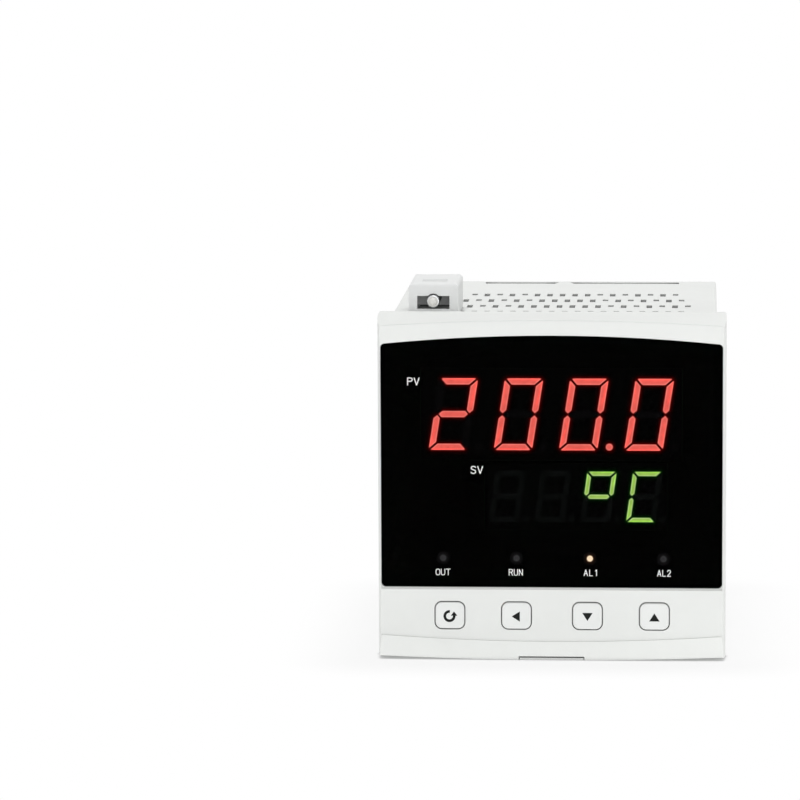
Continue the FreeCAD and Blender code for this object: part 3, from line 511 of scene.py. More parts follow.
@dataclass(frozen=True)
class PolishedPlastic(Finish):
    """A gloss moulding with the faint waviness and fine scuffs of a polished mould.

    Args:
        scuff: How much rougher the scuffed parts are.
        speckle: How much the colour varies.
        scuff_scale: How close together the scuffs lie.
        ripple: The length of a ripple, in metres.
        ripple_depth: The height of a ripple, in metres.
    """

    scuff: float = 0.12
    speckle: float = 0.1
    scuff_scale: float = 900.0
    ripple: float = 0.003
    ripple_depth: float = 0.000008

    def material(self) -> bpy.types.Material:
        """Build the material."""
        material, bench, shader, place = self.start()
        bench.wire(self.toned(bench, place, self.speckle), shader.inputs["Base Color"])
        feeds = {"Vector": place, "Scale": self.scuff_scale, "Detail": 4.0, "Distortion": 1.2}
        scuffs = bench.add("ShaderNodeTexNoise", feeds)
        rough = bench.spread(scuffs.outputs["Fac"], self.roughness, self.roughness + self.scuff)
        bench.wire(rough, shader.inputs["Roughness"])
        self.bumped(bench, shader, bench.noise(place, self.ripple, 1.0), self.ripple_depth)
        return material


@dataclass(frozen=True)
class SmokedLens(Finish):
    """A dark clear acrylic plate, hard coated, with a few hairline scuffs.

    Args:
        index: Its refractive index, low because the hard coat cuts the reflection.
        cloud: How much its tint changes.
        hair_scale: How close together the hairlines lie.
    """

    index: float = 1.055
    cloud: float = 0.03
    hair_scale: float = 400.0

    def material(self) -> bpy.types.Material:
        """Build the material."""
        material, bench, shader, place = self.start()
        shader.inputs["Transmission Weight"].default_value = 1.0
        shader.inputs["IOR"].default_value = self.index
        bench.wire(self.toned(bench, place, self.cloud), shader.inputs["Base Color"])
        feeds = {"Vector": place, "Scale": self.hair_scale, "Detail": 2.0, "Distortion": 3.0}
        hairs = bench.add("ShaderNodeTexNoise", feeds)
        rough = bench.spread(hairs.outputs["Fac"], 0.0, self.roughness)
        bench.wire(rough, shader.inputs["Roughness"])
        return material


@dataclass(frozen=True)
class GlowingBar(Finish):
    """A glowing diffuser: saturated in its middle and paler towards its edge.
    On the unlit bars and guides the glow is painted light.

    Args:
        edge: The glow at the edge.
        strength: How strongly it shines.
        rim: How wide the pale edge is, in metres.
        cloud: The size of a brighter patch, in metres.
    """

    edge: Colour = (1.0, 0.6, 0.5)
    strength: float = 6.0
    rim: float = 0.0005
    cloud: float = 0.0012

    def material(self) -> bpy.types.Material:
        """Build the material."""
        material, bench, shader, place = self.start()
        edges = self.group(bench, SharedEffects.worn_and_highlit_edges(), {"Place": place, "Width": self.rim})
        mixed = bench.blend(edges.outputs["Mask"], (*self.colour, 1.0), (*self.edge, 1.0))
        cloud = bench.spread(bench.noise(place, self.cloud), 0.86, 1.08)
        bench.wire(bench.scaled(mixed, cloud), shader.inputs["Emission Color"])
        bench.wire(mixed, shader.inputs["Base Color"])
        shader.inputs["Emission Strength"].default_value = self.strength
        return material


@dataclass(frozen=True)
class HaloFilm(Finish):
    """Light that scatters round a lit bar, as strong as the mesh's own glow attribute.

    Args:
        glow: The colour of the light.
        strength: How strongly it shines.
        cloud: The size of a brighter patch, in metres.
    """

    colour: Colour = (0.004, 0.004, 0.004)
    roughness: float = 0.7
    shine: float = 0.1
    glow: Colour = (1.0, 0.01, 0.005)
    strength: float = 1.0
    cloud: float = 0.0012

    def material(self) -> bpy.types.Material:
        """Build the material."""
        material, bench, shader, place = self.start()
        level = bench.add("ShaderNodeAttribute", attribute_name=GLOW).outputs["Fac"]
        cloud = bench.spread(bench.noise(place, self.cloud), 0.8, 1.1)
        tint = bench.blend(
            bench.calc("MULTIPLY", level, cloud), (0.0, 0.0, 0.0, 1.0), (*self.glow, 1.0)
        )
        bench.wire(tint, shader.inputs["Emission Color"])
        shader.inputs["Emission Strength"].default_value = self.strength
        return material


@dataclass(frozen=True)
class PrintedInk(Finish):
    """Screen-printed ink: even, with a slightly open surface.

    Args:
        unevenness: How much its tone changes.
        tooth: The size of its open surface's grain, in metres.
        tooth_swing: How much the roughness differs over that grain.
    """

    unevenness: float = 0.08
    tooth: float = 0.0002
    tooth_swing: float = 0.08

    def material(self) -> bpy.types.Material:
        """Build the material."""
        material, bench, shader, place = self.start()
        bench.wire(self.toned(bench, place, self.unevenness), shader.inputs["Base Color"])
        low, high = self.roughness - self.tooth_swing, self.roughness + self.tooth_swing
        rough = bench.spread(bench.noise(place, self.tooth, 2.0), low, high)
        bench.wire(rough, shader.inputs["Roughness"])
        return material


@dataclass(frozen=True)
class PlatedMetal(Finish):
    """A plated metal with fine turning lines and a slightly cloudy coat.

    Args:
        lines: The pitch of the fine lines in metres.
        cloud: How much the coat's tone changes.
        streak: How far the lines are drawn out along Y, as a share of their pitch.
        depth: How deep the lines are, in metres.
    """

    lines: float = 0.00008
    cloud: float = 0.12
    streak: float = 0.12
    depth: float = 0.000004

    def material(self) -> bpy.types.Material:
        """Build the material."""
        material, bench, shader, place = self.start()
        shader.inputs["Metallic"].default_value = 1.0
        bench.wire(self.toned(bench, place, self.cloud), shader.inputs["Base Color"])
        stretched = bench.add(
            "ShaderNodeMapping", {"Vector": place, "Scale": (1.0, self.streak, 1.0)}
        )
        fine = bench.noise(stretched.outputs[0], self.lines, 3.0)
        rough = bench.spread(fine, self.roughness - 0.1, self.roughness + 0.12)
        bench.wire(rough, shader.inputs["Roughness"])
        self.bumped(bench, shader, fine, self.depth)
        return material


@dataclass(frozen=True)
class BoardLaminate(Finish):
    """A solder-masked board: tracks show as raised lines under the mask, over a faint glass weave.

    Args:
        track: The colour over a track.
        track_scale: How close together the tracks lie.
        weave_scale: How close together the glass threads lie.
        cloud: How much the mask's tone changes.
        depth: How far a track stands out, in metres.
    """

    track: Colour = (0.05, 0.32, 0.13)
    track_scale: float = 420.0
    weave_scale: float = 700.0
    cloud: float = 0.12
    depth: float = 0.00003

    def material(self) -> bpy.types.Material:
        """Build the material."""
        material, bench, shader, place = self.start()
        turned = bench.add("ShaderNodeMapping", {"Vector": place, "Scale": (self.track_scale,) * 3})
        feeds = {
            "Vector": turned.outputs[0],
            "Scale": 1.0,
            "Mortar Size": 0.16,
            "Brick Width": 2.6,
            "Row Height": 0.72,
        }
        cells = bench.add("ShaderNodeTexBrick", feeds, offset_frequency=3)
        tracks = cells.outputs["Fac"]
        mixed = bench.blend(tracks, (*self.colour, 1.0), (*self.track, 1.0))
        weave = bench.add(
            "ShaderNodeTexWave", {"Vector": place, "Scale": self.weave_scale, "Distortion": 0.4}
        )
        toned = self.group(
            bench, SharedEffects.tone(), {"Place": place, "Colour": mixed, "Amount": self.cloud}
        )
        bench.wire(toned.outputs["Colour"], shader.inputs["Base Color"])
        height = bench.calc("ADD", tracks, bench.calc("MULTIPLY", weave.outputs["Fac"], 0.15))
        self.bumped(bench, shader, height, self.depth)
        return material


@dataclass(frozen=True)
class Sleeved(Finish):
    """A shrunk sleeve with a pale stripe along its upper side.

    Args:
        stripe: The colour of the stripe.
        stripe_from: How far a surface faces up before the stripe starts.
        cloud: How much the sleeve's tone changes.
        ripple: The length of a ripple, in metres.
        ripple_depth: The height of a ripple, in metres.
    """

    stripe: Colour = (0.55, 0.56, 0.58)
    stripe_from: float = 0.93
    cloud: float = 0.15
    ripple: float = 0.0012
    ripple_depth: float = 0.00002

    def material(self) -> bpy.types.Material:
        """Build the material."""
        material, bench, shader, place = self.start()
        toned = self.toned(bench, place, self.cloud)
        normal = bench.add("ShaderNodeNewGeometry").outputs["Normal"]
        parts = bench.add("ShaderNodeSeparateXYZ", {0: normal})
        side = bench.calc("GREATER_THAN", parts.outputs["Z"], self.stripe_from)
        mixed = bench.blend(side, toned, (*self.stripe, 1.0))
        bench.wire(mixed, shader.inputs["Base Color"])
        self.bumped(bench, shader, bench.noise(place, self.ripple, 2.0), self.ripple_depth)
        return material


@dataclass(frozen=True)
class WoundTape(Finish):
    """Glossy tape wound round a coil: painted shade along each lap line and a little lift at each
    lap.

    Args:
        pitch: The distance between laps, in metres.
        wander: The size of a stretch over which the laps wander, in metres.
        shaded: How much of a lap lies in its neighbour's shade.
        cloud: How much the tape's tone changes.
        depth: How far a lap stands out, in metres.
    """

    pitch: float = 0.0021
    wander: float = 0.006
    shaded: float = 0.12
    cloud: float = 0.12
    depth: float = 0.00008

    def material(self) -> bpy.types.Material:
        """Build the material."""
        material, bench, shader, place = self.start()
        along = bench.add("ShaderNodeSeparateXYZ", {0: place}).outputs["X"]
        wander = bench.calc("MULTIPLY", bench.noise(place, self.wander), 0.3)
        turns = bench.calc("ADD", bench.calc("DIVIDE", along, self.pitch), wander)
        lap = bench.calc("FRACT", turns)
        # Painted shade: the start of each lap is darkened where it lies under its neighbour.
        shade = bench.remap(lap, 0.0, self.shaded, 0.55, 1.0)
        toned = self.toned(bench, place, self.cloud)
        bench.wire(bench.scaled(toned, shade), shader.inputs["Base Color"])
        self.bumped(bench, shader, lap, self.depth)
        return material


class Slot(Enum):
    """The record's material slots, as the nodes carry them."""

    SHELL = "shell_white"
    CLIP = "clip_white"
    KEY = "key_white"
    LENS = "smoked_lens"
    MASK = "mask_black"
    DISPLAY = "display_black"
    RED_LIT = "segment_red_lit"
    RED_OFF = "segment_red_off"
    GREEN_LIT = "segment_green_lit"
    GREEN_OFF = "segment_green_off"
    GUIDE = "guide_clear"
    GUIDE_LIT = "guide_lit"
    LED = "led_white"
    PLUNGER = "plunger_grey"
    SWITCH = "switch_black"
    BOARD = "board_green"
    STEEL = "zinc_steel"
    HEADER = "header_black"
    BRIDGE = "bridge_grey"
    FERRITE = "ferrite"
    BOBBIN = "bobbin_yellow"
    SLEEVE = "capacitor_sleeve"
    SURGE = "surge_blue"
    FUSE = "fuse_glass"
    RELAY = "relay_blue"
    CHIP = "chip_black"
    SOCKET = "socket_black"
    NICKEL = "terminal_nickel"
    FOOT = "foot_ivory"


SHELL_WHITE: Colour = (0.80, 0.815, 0.795)
# Mouldings with a recess value paint shade into their slots and gaps.
FINISHES: dict[Slot, Finish] = {
    Slot.SHELL: MouldedPlastic("satin_shell", SHELL_WHITE, 0.5, recess=0.6),
    Slot.CLIP: MouldedPlastic("clip_moulding", (0.81, 0.82, 0.815), 0.48),
    Slot.KEY: MouldedPlastic(
        "key_moulding", (0.81, 0.825, 0.81), 0.42, depth=0.000003, recess=0.25, shade_reach=0.002
    ),
    Slot.LENS: SmokedLens("smoked_acrylic", (0.16, 0.16, 0.165), 0.02),
    # The mask's edges get a strong painted highlight.
    Slot.MASK: MouldedPlastic(
        "mask_moulding", (0.004, 0.004, 0.004), 0.7, shine=0.1, edge_highlight=0.5, dust=0.0
    ),
    Slot.DISPLAY: PolishedPlastic("display_block", (0.004, 0.004, 0.004), 0.7, shine=0.1),
    Slot.RED_LIT: GlowingBar(
        "red_rim", (0.30, 0.012, 0.006), 0.5, 0.1, edge=(0.22, 0.006, 0.004), strength=2.2
    ),
    # The unlit bars glow faintly, with a paler rim: painted light.
    Slot.RED_OFF: GlowingBar(
        "red_bar_off_painted_glow", (0.005, 0.0045, 0.0045), 0.5, 0.2, edge=(0.008, 0.007, 0.007), strength=1.0
    ),
    Slot.GREEN_LIT: GlowingBar(
        "green_rim", (0.04, 0.12, 0.01), 0.5, 0.1, edge=(0.03, 0.09, 0.008), strength=3.5
    ),
    Slot.GREEN_OFF: GlowingBar(
        "green_bar_off_painted_glow",
        (0.010, 0.0125, 0.0105),
        0.5,
        0.2,
        edge=(0.014, 0.017, 0.015),
        strength=1.0,
    ),
    # The unlit guides glow faintly too, brighter in the middle than at the rim: painted light.
    Slot.GUIDE: GlowingBar(
        "guide_off_painted_glow", (0.16, 0.16, 0.16), 0.3, edge=(0.07, 0.07, 0.07), strength=1.0, rim=0.0004
    ),
    Slot.GUIDE_LIT: GlowingBar(
        "guide_glow", (1.0, 0.78, 0.52), 0.3, edge=(0.22, 0.12, 0.06), strength=6.2, rim=0.0004
    ),
    Slot.LED: MouldedPlastic("led_body", (0.8, 0.78, 0.62), 0.4),
    Slot.PLUNGER: MouldedPlastic("plunger_moulding", (0.18, 0.18, 0.18), 0.5),
    Slot.SWITCH: MouldedPlastic("switch_moulding", (0.05, 0.05, 0.05), 0.45),
    Slot.BOARD: BoardLaminate("board_laminate", (0.012, 0.13, 0.05), 0.35),
    Slot.STEEL: PlatedMetal("zinc_plate", (0.7, 0.71, 0.72), 0.32),
    Slot.HEADER: MouldedPlastic("header_moulding", (0.02, 0.02, 0.02), 0.5),
    Slot.BRIDGE: MouldedPlastic("bridge_moulding", (0.3, 0.31, 0.32), 0.5),
    Slot.FERRITE: MouldedPlastic("pressed_ferrite", (0.06, 0.06, 0.065), 0.65, depth=0.00002),
    Slot.BOBBIN: WoundTape("wound_tape", (0.72, 0.50, 0.05), 0.25),
    Slot.SLEEVE: Sleeved("shrunk_sleeve", (0.02, 0.03, 0.06), 0.3),
    Slot.SURGE: PolishedPlastic("dipped_coating", (0.04, 0.13, 0.45), 0.2),
    Slot.FUSE: PolishedPlastic("fuse_ceramic", (0.75, 0.74, 0.7), 0.25),
    Slot.RELAY: MouldedPlastic("relay_cover", (0.03, 0.12, 0.38), 0.4),
    Slot.CHIP: MouldedPlastic("chip_package", (0.02, 0.02, 0.02), 0.55, depth=0.00001),
    Slot.SOCKET: MouldedPlastic("socket_moulding", (0.025, 0.025, 0.025), 0.5),
    Slot.NICKEL: PlatedMetal("nickel_plate", (0.72, 0.7, 0.62), 0.28),
    Slot.FOOT: MouldedPlastic("foot_moulding", (0.8, 0.79, 0.76), 0.45, recess=0.3),
}


def even_glow(name: str, colour: Colour) -> GlowingBar:
    """A lit plate of one even colour."""
    return GlowingBar(name, colour, 0.4, 0.1, edge=colour, strength=6.0)


# The bezel's key gaps and the cover's rear slots get painted shade.
BEZEL = MouldedPlastic("bezel_shell", SHELL_WHITE, 0.5, recess=0.3, shade_reach=0.002)
COVER = MouldedPlastic("cover_shell", SHELL_WHITE, 0.5, recess=0.95, shade_from=0.8, shade_to=0.5)
RED_CORE = even_glow("red_glow", (0.81, 0.122, 0.094))
RED_EDGE = even_glow("red_glow_edge", (0.90, 0.205, 0.165))
GREEN_CORE = even_glow("green_glow", (0.31, 0.51, 0.085))
GREEN_EDGE = even_glow("green_glow_edge", (0.46, 0.64, 0.24))
RED_HALO = HaloFilm("red_halo", glow=(1.0, 0.01, 0.006), strength=0.55)
GREEN_HALO = HaloFilm("green_halo", glow=(0.06, 1.0, 0.04), strength=0.16)
LAMP_HALO = HaloFilm("lamp_halo", glow=(1.0, 0.45, 0.2), strength=0.22)
# A faint painted glow round the unlit guides.
DIM_HALO = HaloFilm("unlit_guide_painted_halo", glow=(1.0, 1.0, 1.0), strength=0.05)
TIN = PlatedMetal("solder_tin", (0.66, 0.67, 0.68), 0.3)
GOLD = PlatedMetal("flash_gold", (0.85, 0.62, 0.24), 0.25)
RESISTOR = MouldedPlastic("resistor_glaze", (0.015, 0.015, 0.017), 0.35)
CERAMIC = MouldedPlastic("capacitor_ceramic", (0.42, 0.28, 0.14), 0.5)


class Wardrobe:
    """Hands out each finish's material, made once."""

    @staticmethod
    @cache
    def of(finish: Finish) -> bpy.types.Material:
        """The material of a finish."""
        return finish.material()

    @classmethod
    def dress(cls, *nodes: str, finish: Finish | None = None) -> None:
        """Give CAD nodes the finish of their own slot, or a variant of it.

        Args:
            nodes: The nodes' names.
            finish: The variant, if there is one.
        """
        for name in nodes:
            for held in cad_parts[name].material_slots:
                held.material = cls.of(finish or FINISHES[Slot(held.material.name.split(".")[0])])


# ---------------------------------------------------------------------------
# Mesh helpers
# ---------------------------------------------------------------------------


def middle(node: str) -> Vector:
    """The centre of a CAD node's box."""
    low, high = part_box(node)
    return (low + high) / 2.0


def make_piece(
    name: str, mesh: bpy.types.Mesh, body: str, finish: Finish
) -> bpy.types.Object:
    """Turn a mesh in the row frame into a finished piece.

    Args:
        name: The piece's name.
        mesh: Its mesh, in metres in the row frame.
        body: The body that it rides on.
        finish: Its finish.

    Returns:
        The piece.
    """
    piece = placed(name, mesh)
    mesh.materials.clear()
    mesh.materials.append(Wardrobe.of(finish))
    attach(piece, body)
    return piece


def plain_mesh(holder: bpy.types.Object) -> bpy.types.Mesh:
    """The final mesh of an object, which then goes."""
    bpy.context.view_layer.update()
    mesh = bpy.data.meshes.new_from_object(
        holder.evaluated_get(bpy.context.evaluated_depsgraph_get())
    )
    bpy.data.objects.remove(holder)
    return mesh


def outline_mesh(name: str, loops: list[list[Flat]], depth: float) -> bpy.types.Mesh:
    """Fill flat loops, the first one outside and the rest holes, and give them a thickness.

    Args:
        name: The mesh's name.
        loops: Closed loops of (x, z) points in metres.
        depth: The thickness along Y, in metres.

    Returns:
        A closed mesh whose front lies at y = 0 and whose back at y = depth.
    """
    curve = bpy.data.curves.new(name, "CURVE")
    curve.dimensions = "2D"
    curve.fill_mode = "BOTH"
    curve.extrude = depth / 2.0
    for loop in loops:
        spline = curve.splines.new("POLY")
        spline.points.add(len(loop) - 1)
        for point, (x, z) in zip(spline.points, loop):
            point.co = (x, z, 0.0, 1.0)
        spline.use_cyclic_u = True
    mesh = plain_mesh(placed(name, curve))
    upright = Matrix.Translation((0.0, depth / 2.0, 0.0)) @ Matrix.Rotation(
        math.radians(90.0), 4, "X"
    )
    mesh.transform(upright)
    return mesh


def ribbon(path: list[Flat], width: float) -> list[list[Flat]]:
    """Round-ended outlines that cover a pen stroke.

    Args:
        path: The points that the pen passes.
        width: The width of the pen.

    Returns:
        One closed outline for each straight run.
    """
    outlines = []
    for (x0, z0), (x1, z1) in zip(path, path[1:]):
        turn = math.atan2(z1 - z0, x1 - x0)
        loop = []
        for (x, z), start in (((x1, z1), -90.0), ((x0, z0), 90.0)):
            for step in range(7):
                angle = turn + math.radians(start + 30.0 * step)
                loop.append((x + width / 2.0 * math.cos(angle), z + width / 2.0 * math.sin(angle)))
        outlines.append(loop)
    return outlines


def along_span(t: float, p: float, q: float, r: float, w: float) -> float:
    """One coordinate a share t of the way from q to r, with p before them and w after."""
    bend = 2.0 * p - 5.0 * q + 4.0 * r - w
    twist = 3.0 * q - p - 3.0 * r + w
    return 0.5 * (2.0 * q + (r - p) * t + bend * t * t + twist * t ** 3)


def smooth_path(points: list[Flat], steps: int = 6) -> list[Flat]:
    """Run a smooth line through points (a Catmull-Rom spline).

    Args:
        points: The points that it passes.
        steps: How many runs each span is cut into.

    Returns:
        The points along the line.
    """
    ends = [points[0], *points, points[-1]]
    path = []
    for a, b, c, d in zip(ends, ends[1:], ends[2:], ends[3:]):
        for step in range(steps):
            t = step / steps
            path.append(tuple(along_span(t, *values) for values in zip(a, b, c, d)))
    return [*path, points[-1]]


def axes_of(u: Point, v: Point, w: Point, origin: Point = (0.0, 0.0, 0.0)) -> Matrix:
    """The matrix that turns (u, v, w) into a point, from its three axes and its origin."""
    return Matrix((*zip(u, v, w, origin), (0.0, 0.0, 0.0, 1.0)))


ALONG_X: Point = (1.0, 0.0, 0.0)
ALONG_Y: Point = (0.0, 1.0, 0.0)
ALONG_Z: Point = (0.0, 0.0, 1.0)


def prism(outline: list[Flat], depth: float, axes: Matrix) -> bmesh.types.BMesh:
    """Give a flat outline a thickness.

    Args:
        outline: A closed loop of (u, v) points.
        depth: Its thickness along the third axis.
        axes: Turns (u, v, w) into a point in the row frame.

    Returns:
        A closed mesh with its faces outward.
    """
    build = bmesh.new()
    rings = [[build.verts.new(axes @ Vector((u, v, w))) for u, v in outline] for w in (0.0, depth)]
    build.faces.new(rings[0])
    build.faces.new(reversed(rings[1]))
    count = len(outline)
    for i in range(count):
        j = (i + 1) % count
        build.faces.new((rings[0][i], rings[1][i], rings[1][j], rings[0][j]))
    bmesh.ops.recalc_face_normals(build, faces=build.faces)
    return build


def lathe(profile: list[Flat], axes: Matrix, sides: int = 48) -> bmesh.types.BMesh:
    """Turn a profile about an axis.

    Args:
        profile: (place along the axis, radius) points, from one end to the other.
        axes: Turns (along, up, across) into a point in the row frame.
        sides: How many faces go round.

    Returns:
        A closed mesh with its faces outward.
    """
    build = bmesh.new()
    turns = [2.0 * math.pi * i / sides for i in range(sides)]
    rings = [
        [build.verts.new(axes @ Vector((u, r * math.cos(a), r * math.sin(a)))) for a in turns]
        for u, r in profile
    ]
    for low, high in zip(rings, rings[1:]):
        for i in range(sides):
            j = (i + 1) % sides
            build.faces.new((low[i], low[j], high[j], high[i]))
    build.faces.new(rings[0])
    build.faces.new(rings[-1])
    bmesh.ops.recalc_face_normals(build, faces=build.faces)
    return build


def baked(name: str, *builds: bmesh.types.BMesh) -> bpy.types.Mesh:
    """Put bmeshes into one mesh and free them.

    Args:
        name: The mesh's name.
        builds: The bmeshes.

    Returns:
        The mesh.
    """
    whole = bmesh.new()
    for build in builds:
        part = bpy.data.meshes.new(name + "_part")
        build.to_mesh(part)
        build.free()
        whole.from_mesh(part)
        bpy.data.meshes.remove(part)
    mesh = bpy.data.meshes.new(name)
    whole.to_mesh(mesh)
    whole.free()
    return mesh


def merge_meshes(name: str, meshes: list[bpy.types.Mesh]) -> bpy.types.Mesh:
    """Put several meshes into one.

    Args:
        name: The new mesh's name.
        meshes: The meshes, all in the row frame.

    Returns:
        One mesh with all their faces.
    """
    build = bmesh.new()
    for mesh in meshes:
        build.from_mesh(mesh)
    joined = bpy.data.meshes.new(name)
    build.to_mesh(joined)
    build.free()
    return joined


def node_surface(name: str) -> BVHTree:
    """A search tree over a CAD node's faces, at rest."""
    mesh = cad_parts[name].data
    return BVHTree.FromPolygons([v.co for v in mesh.vertices], [p.vertices for p in mesh.polygons])


# ---------------------------------------------------------------------------
# Geometry node trees
# ---------------------------------------------------------------------------


GEOMETRY = "NodeSocketGeometry"
WHOLE = "NodeSocketInt"
CHOICE = "NodeSocketMaterial"


class Growth:
    """The geometry node trees, each made once, and the way to run one."""

    @staticmethod
    def start(name: str, inputs: dict[str, str]) -> tuple[Bench, dict, bpy.types.NodeSocket]:
        """Start a tree with named inputs and one geometry output.

        Args:
            name: The tree's name.
            inputs: Input name to socket type.

        Returns:
            The bench, the inputs inside the tree, and the output's socket.
        """
        tree = bpy.data.node_groups.new(name, "GeometryNodeTree")
        for label, kind in inputs.items():
            tree.interface.new_socket(label, in_out="INPUT", socket_type=kind)
        tree.interface.new_socket("Geometry", in_out="OUTPUT", socket_type=GEOMETRY)
        bench = Bench(tree)
        return bench, bench.add("NodeGroupInput").outputs, bench.add("NodeGroupOutput").inputs[0]

    @staticmethod
    def finish(
        bench: Bench, shape: bpy.types.NodeSocket, finish: object, result: bpy.types.NodeSocket
    ) -> None:
        """End a tree with Realize Instances and Set Material.

        Args:
            bench: The tree's bench.
            shape: The geometry's socket.
            finish: The material input's socket.
            result: The output's socket.
        """
        real = bench.add("GeometryNodeRealizeInstances", {0: shape}).outputs[0]
        dressed = bench.add(
            "GeometryNodeSetMaterial", {"Geometry": real, "Material": finish}
        ).outputs[0]
        bench.wire(dressed, result)

    @staticmethod
    @cache
    def thread() -> bpy.types.NodeTree:
        """Wind a ridge round a turned core that lies along Z."""
        inputs = {
            "Core": GEOMETRY,
            "Length": VALUE,
            "Pitch": VALUE,
            "Root Radius": VALUE,
            "Crest Radius": VALUE,
            "Material": CHOICE,
        }
        bench, given, result = Growth.start("thread_ridge", inputs)
        turns = bench.calc("DIVIDE", given["Length"], given["Pitch"])
        feeds = {
            "Resolution": 28,
            "Rotations": turns,
            "Start Radius": given["Root Radius"],
            "End Radius": given["Root Radius"],
            "Height": given["Length"],
        }
        path = bench.add("GeometryNodeCurveSpiral", feeds).outputs[0]
        upright = bench.add("GeometryNodeSetCurveNormal", {"Curve": path}, mode="Z_UP").outputs[0]
        depth = bench.calc("SUBTRACT", given["Crest Radius"], given["Root Radius"])
        section = bench.add(
            "GeometryNodeCurvePrimitiveCircle", {"Resolution": 4, "Radius": depth}
        ).outputs[0]
        ridge = bench.add(
            "GeometryNodeCurveToMesh",
            {"Curve": upright, "Profile Curve": section, "Fill Caps": True},
        ).outputs[0]
        both = bench.add("GeometryNodeJoinGeometry")
        bench.wire(given["Core"], both.inputs[0])
        bench.wire(ridge, both.inputs[0])
        Growth.finish(bench, both.outputs[0], given["Material"], result)
        return bench.tree

    @staticmethod
    @cache
    def field() -> bpy.types.NodeTree:
        """Repeat one part over a grid of places, some of them left empty."""
        inputs = {
            "Part": GEOMETRY, "Rows": WHOLE, "Row Step": VECTOR, "Columns": WHOLE,
            "Column Step": VECTOR, "Share": VALUE, "Seed": WHOLE, "Material": CHOICE,
        }
        bench, given, result = Growth.start("part_field", inputs)
        row = bench.add(
            "GeometryNodeMeshLine", {"Count": given["Rows"], "Offset": given["Row Step"]}
        ).outputs[0]
        column = bench.add(
            "GeometryNodeMeshLine", {"Count": given["Columns"], "Offset": given["Column Step"]}
        ).outputs[0]
        spread = bench.add(
            "GeometryNodeInstanceOnPoints", {"Points": row, "Instance": column}
        ).outputs[0]
        places = bench.add("GeometryNodeRealizeInstances", {0: spread}).outputs[0]
        draw = bench.add("FunctionNodeRandomValue", {"Seed": given["Seed"]}, data_type="FLOAT")
        kept = bench.add(
            "FunctionNodeCompare",
            {0: draw.outputs[1], 1: given["Share"]},
            data_type="FLOAT",
            operation="LESS_THAN",
        )
        feeds = {"Points": places, "Selection": kept.outputs[0], "Instance": given["Part"]}
        parts = bench.add("GeometryNodeInstanceOnPoints", feeds).outputs[0]
        Growth.finish(bench, parts, given["Material"], result)
        return bench.tree

    @staticmethod
    def run(
        mesh: bpy.types.Mesh, tree: bpy.types.NodeTree, finish: Finish, **values: object
    ) -> bpy.types.Mesh:
        """Run a tree on a mesh and keep the plain result.

        Args:
            mesh: The mesh that goes into the first input.
            tree: The tree.
            finish: What the result is made of.
            values: Input name, with _ for a space, to its value.

        Returns:
            The plain mesh.
        """
        holder = placed(mesh.name, mesh)
        grow = holder.modifiers.new("growth", "NODES")
        grow.node_group = tree
        sockets = {
            item.name: item.identifier
            for item in tree.interface.items_tree
            if item.in_out == "INPUT"
        }
        for name, value in values.items():
            grow[sockets[name.replace("_", " ")]] = value
        grow[sockets["Material"]] = Wardrobe.of(finish)
        return plain_mesh(holder)


# ---------------------------------------------------------------------------
# The front
# ---------------------------------------------------------------------------


@dataclass
class FrontMoulding:
    """The bezel moulding with its board screws."""

    def dress(self) -> None:
        """Give the moulding and the screws behind it their finish."""
        Wardrobe.dress("front_bezel", finish=BEZEL)
        Wardrobe.dress("board_screws")


LETTER_WIDTH = 0.6
ROUND_P = smooth_path([(0.30, 1.0), (0.50, 0.96), (0.58, 0.77), (0.50, 0.57), (0.30, 0.53)])
STROKES: dict[str, list[list[Flat]]] = {
    "P": [[(0.0, 0.0), (0.0, 1.0), *ROUND_P, (0.0, 0.53)]],
    "V": [[(0.0, 1.0), (0.31, 0.0), (0.62, 1.0)]],
    "S": [smooth_path([
        (0.58, 0.84), (0.46, 0.97), (0.29, 1.0), (0.10, 0.94), (0.03, 0.76), (0.11, 0.60),
        (0.30, 0.52), (0.50, 0.43), (0.58, 0.25), (0.50, 0.07), (0.30, 0.0), (0.11, 0.04),
        (0.0, 0.17),
    ])],
    "O": [smooth_path([
        (0.30, 1.0), (0.10, 0.93), (0.0, 0.70), (0.0, 0.30), (0.10, 0.07), (0.30, 0.0),
        (0.50, 0.07), (0.60, 0.30), (0.60, 0.70), (0.50, 0.93), (0.30, 1.0),
    ])],
    "U": [
        [
            (0.0, 1.0),
            *smooth_path([(0.0, 0.30), (0.08, 0.07), (0.29, 0.0), (0.50, 0.07), (0.58, 0.30)]),
            (0.58, 1.0),
        ]
    ],
    "T": [[(0.0, 1.0), (0.60, 1.0)], [(0.30, 1.0), (0.30, 0.0)]],
    "R": [[(0.0, 0.0), (0.0, 1.0), *ROUND_P, (0.0, 0.53)], [(0.32, 0.53), (0.60, 0.0)]],
    "N": [[(0.0, 0.0), (0.0, 1.0), (0.56, 0.0), (0.56, 1.0)]],
    "A": [[(0.0, 0.0), (0.30, 1.0), (0.60, 0.0)], [(0.10, 0.34), (0.50, 0.34)]],
    "L": [[(0.04, 1.0), (0.04, 0.0), (0.52, 0.0)]],
    "1": [[(0.12, 0.80), (0.32, 1.0), (0.32, 0.0)]],
    "2": [
        [
            *smooth_path(
                [(0.03, 0.76), (0.11, 0.94), (0.30, 1.0), (0.49, 0.94), (0.55, 0.74), (0.42, 0.48)]
            ),
            (0.0, 0.0),
            (0.58, 0.0),
        ]
    ],
}


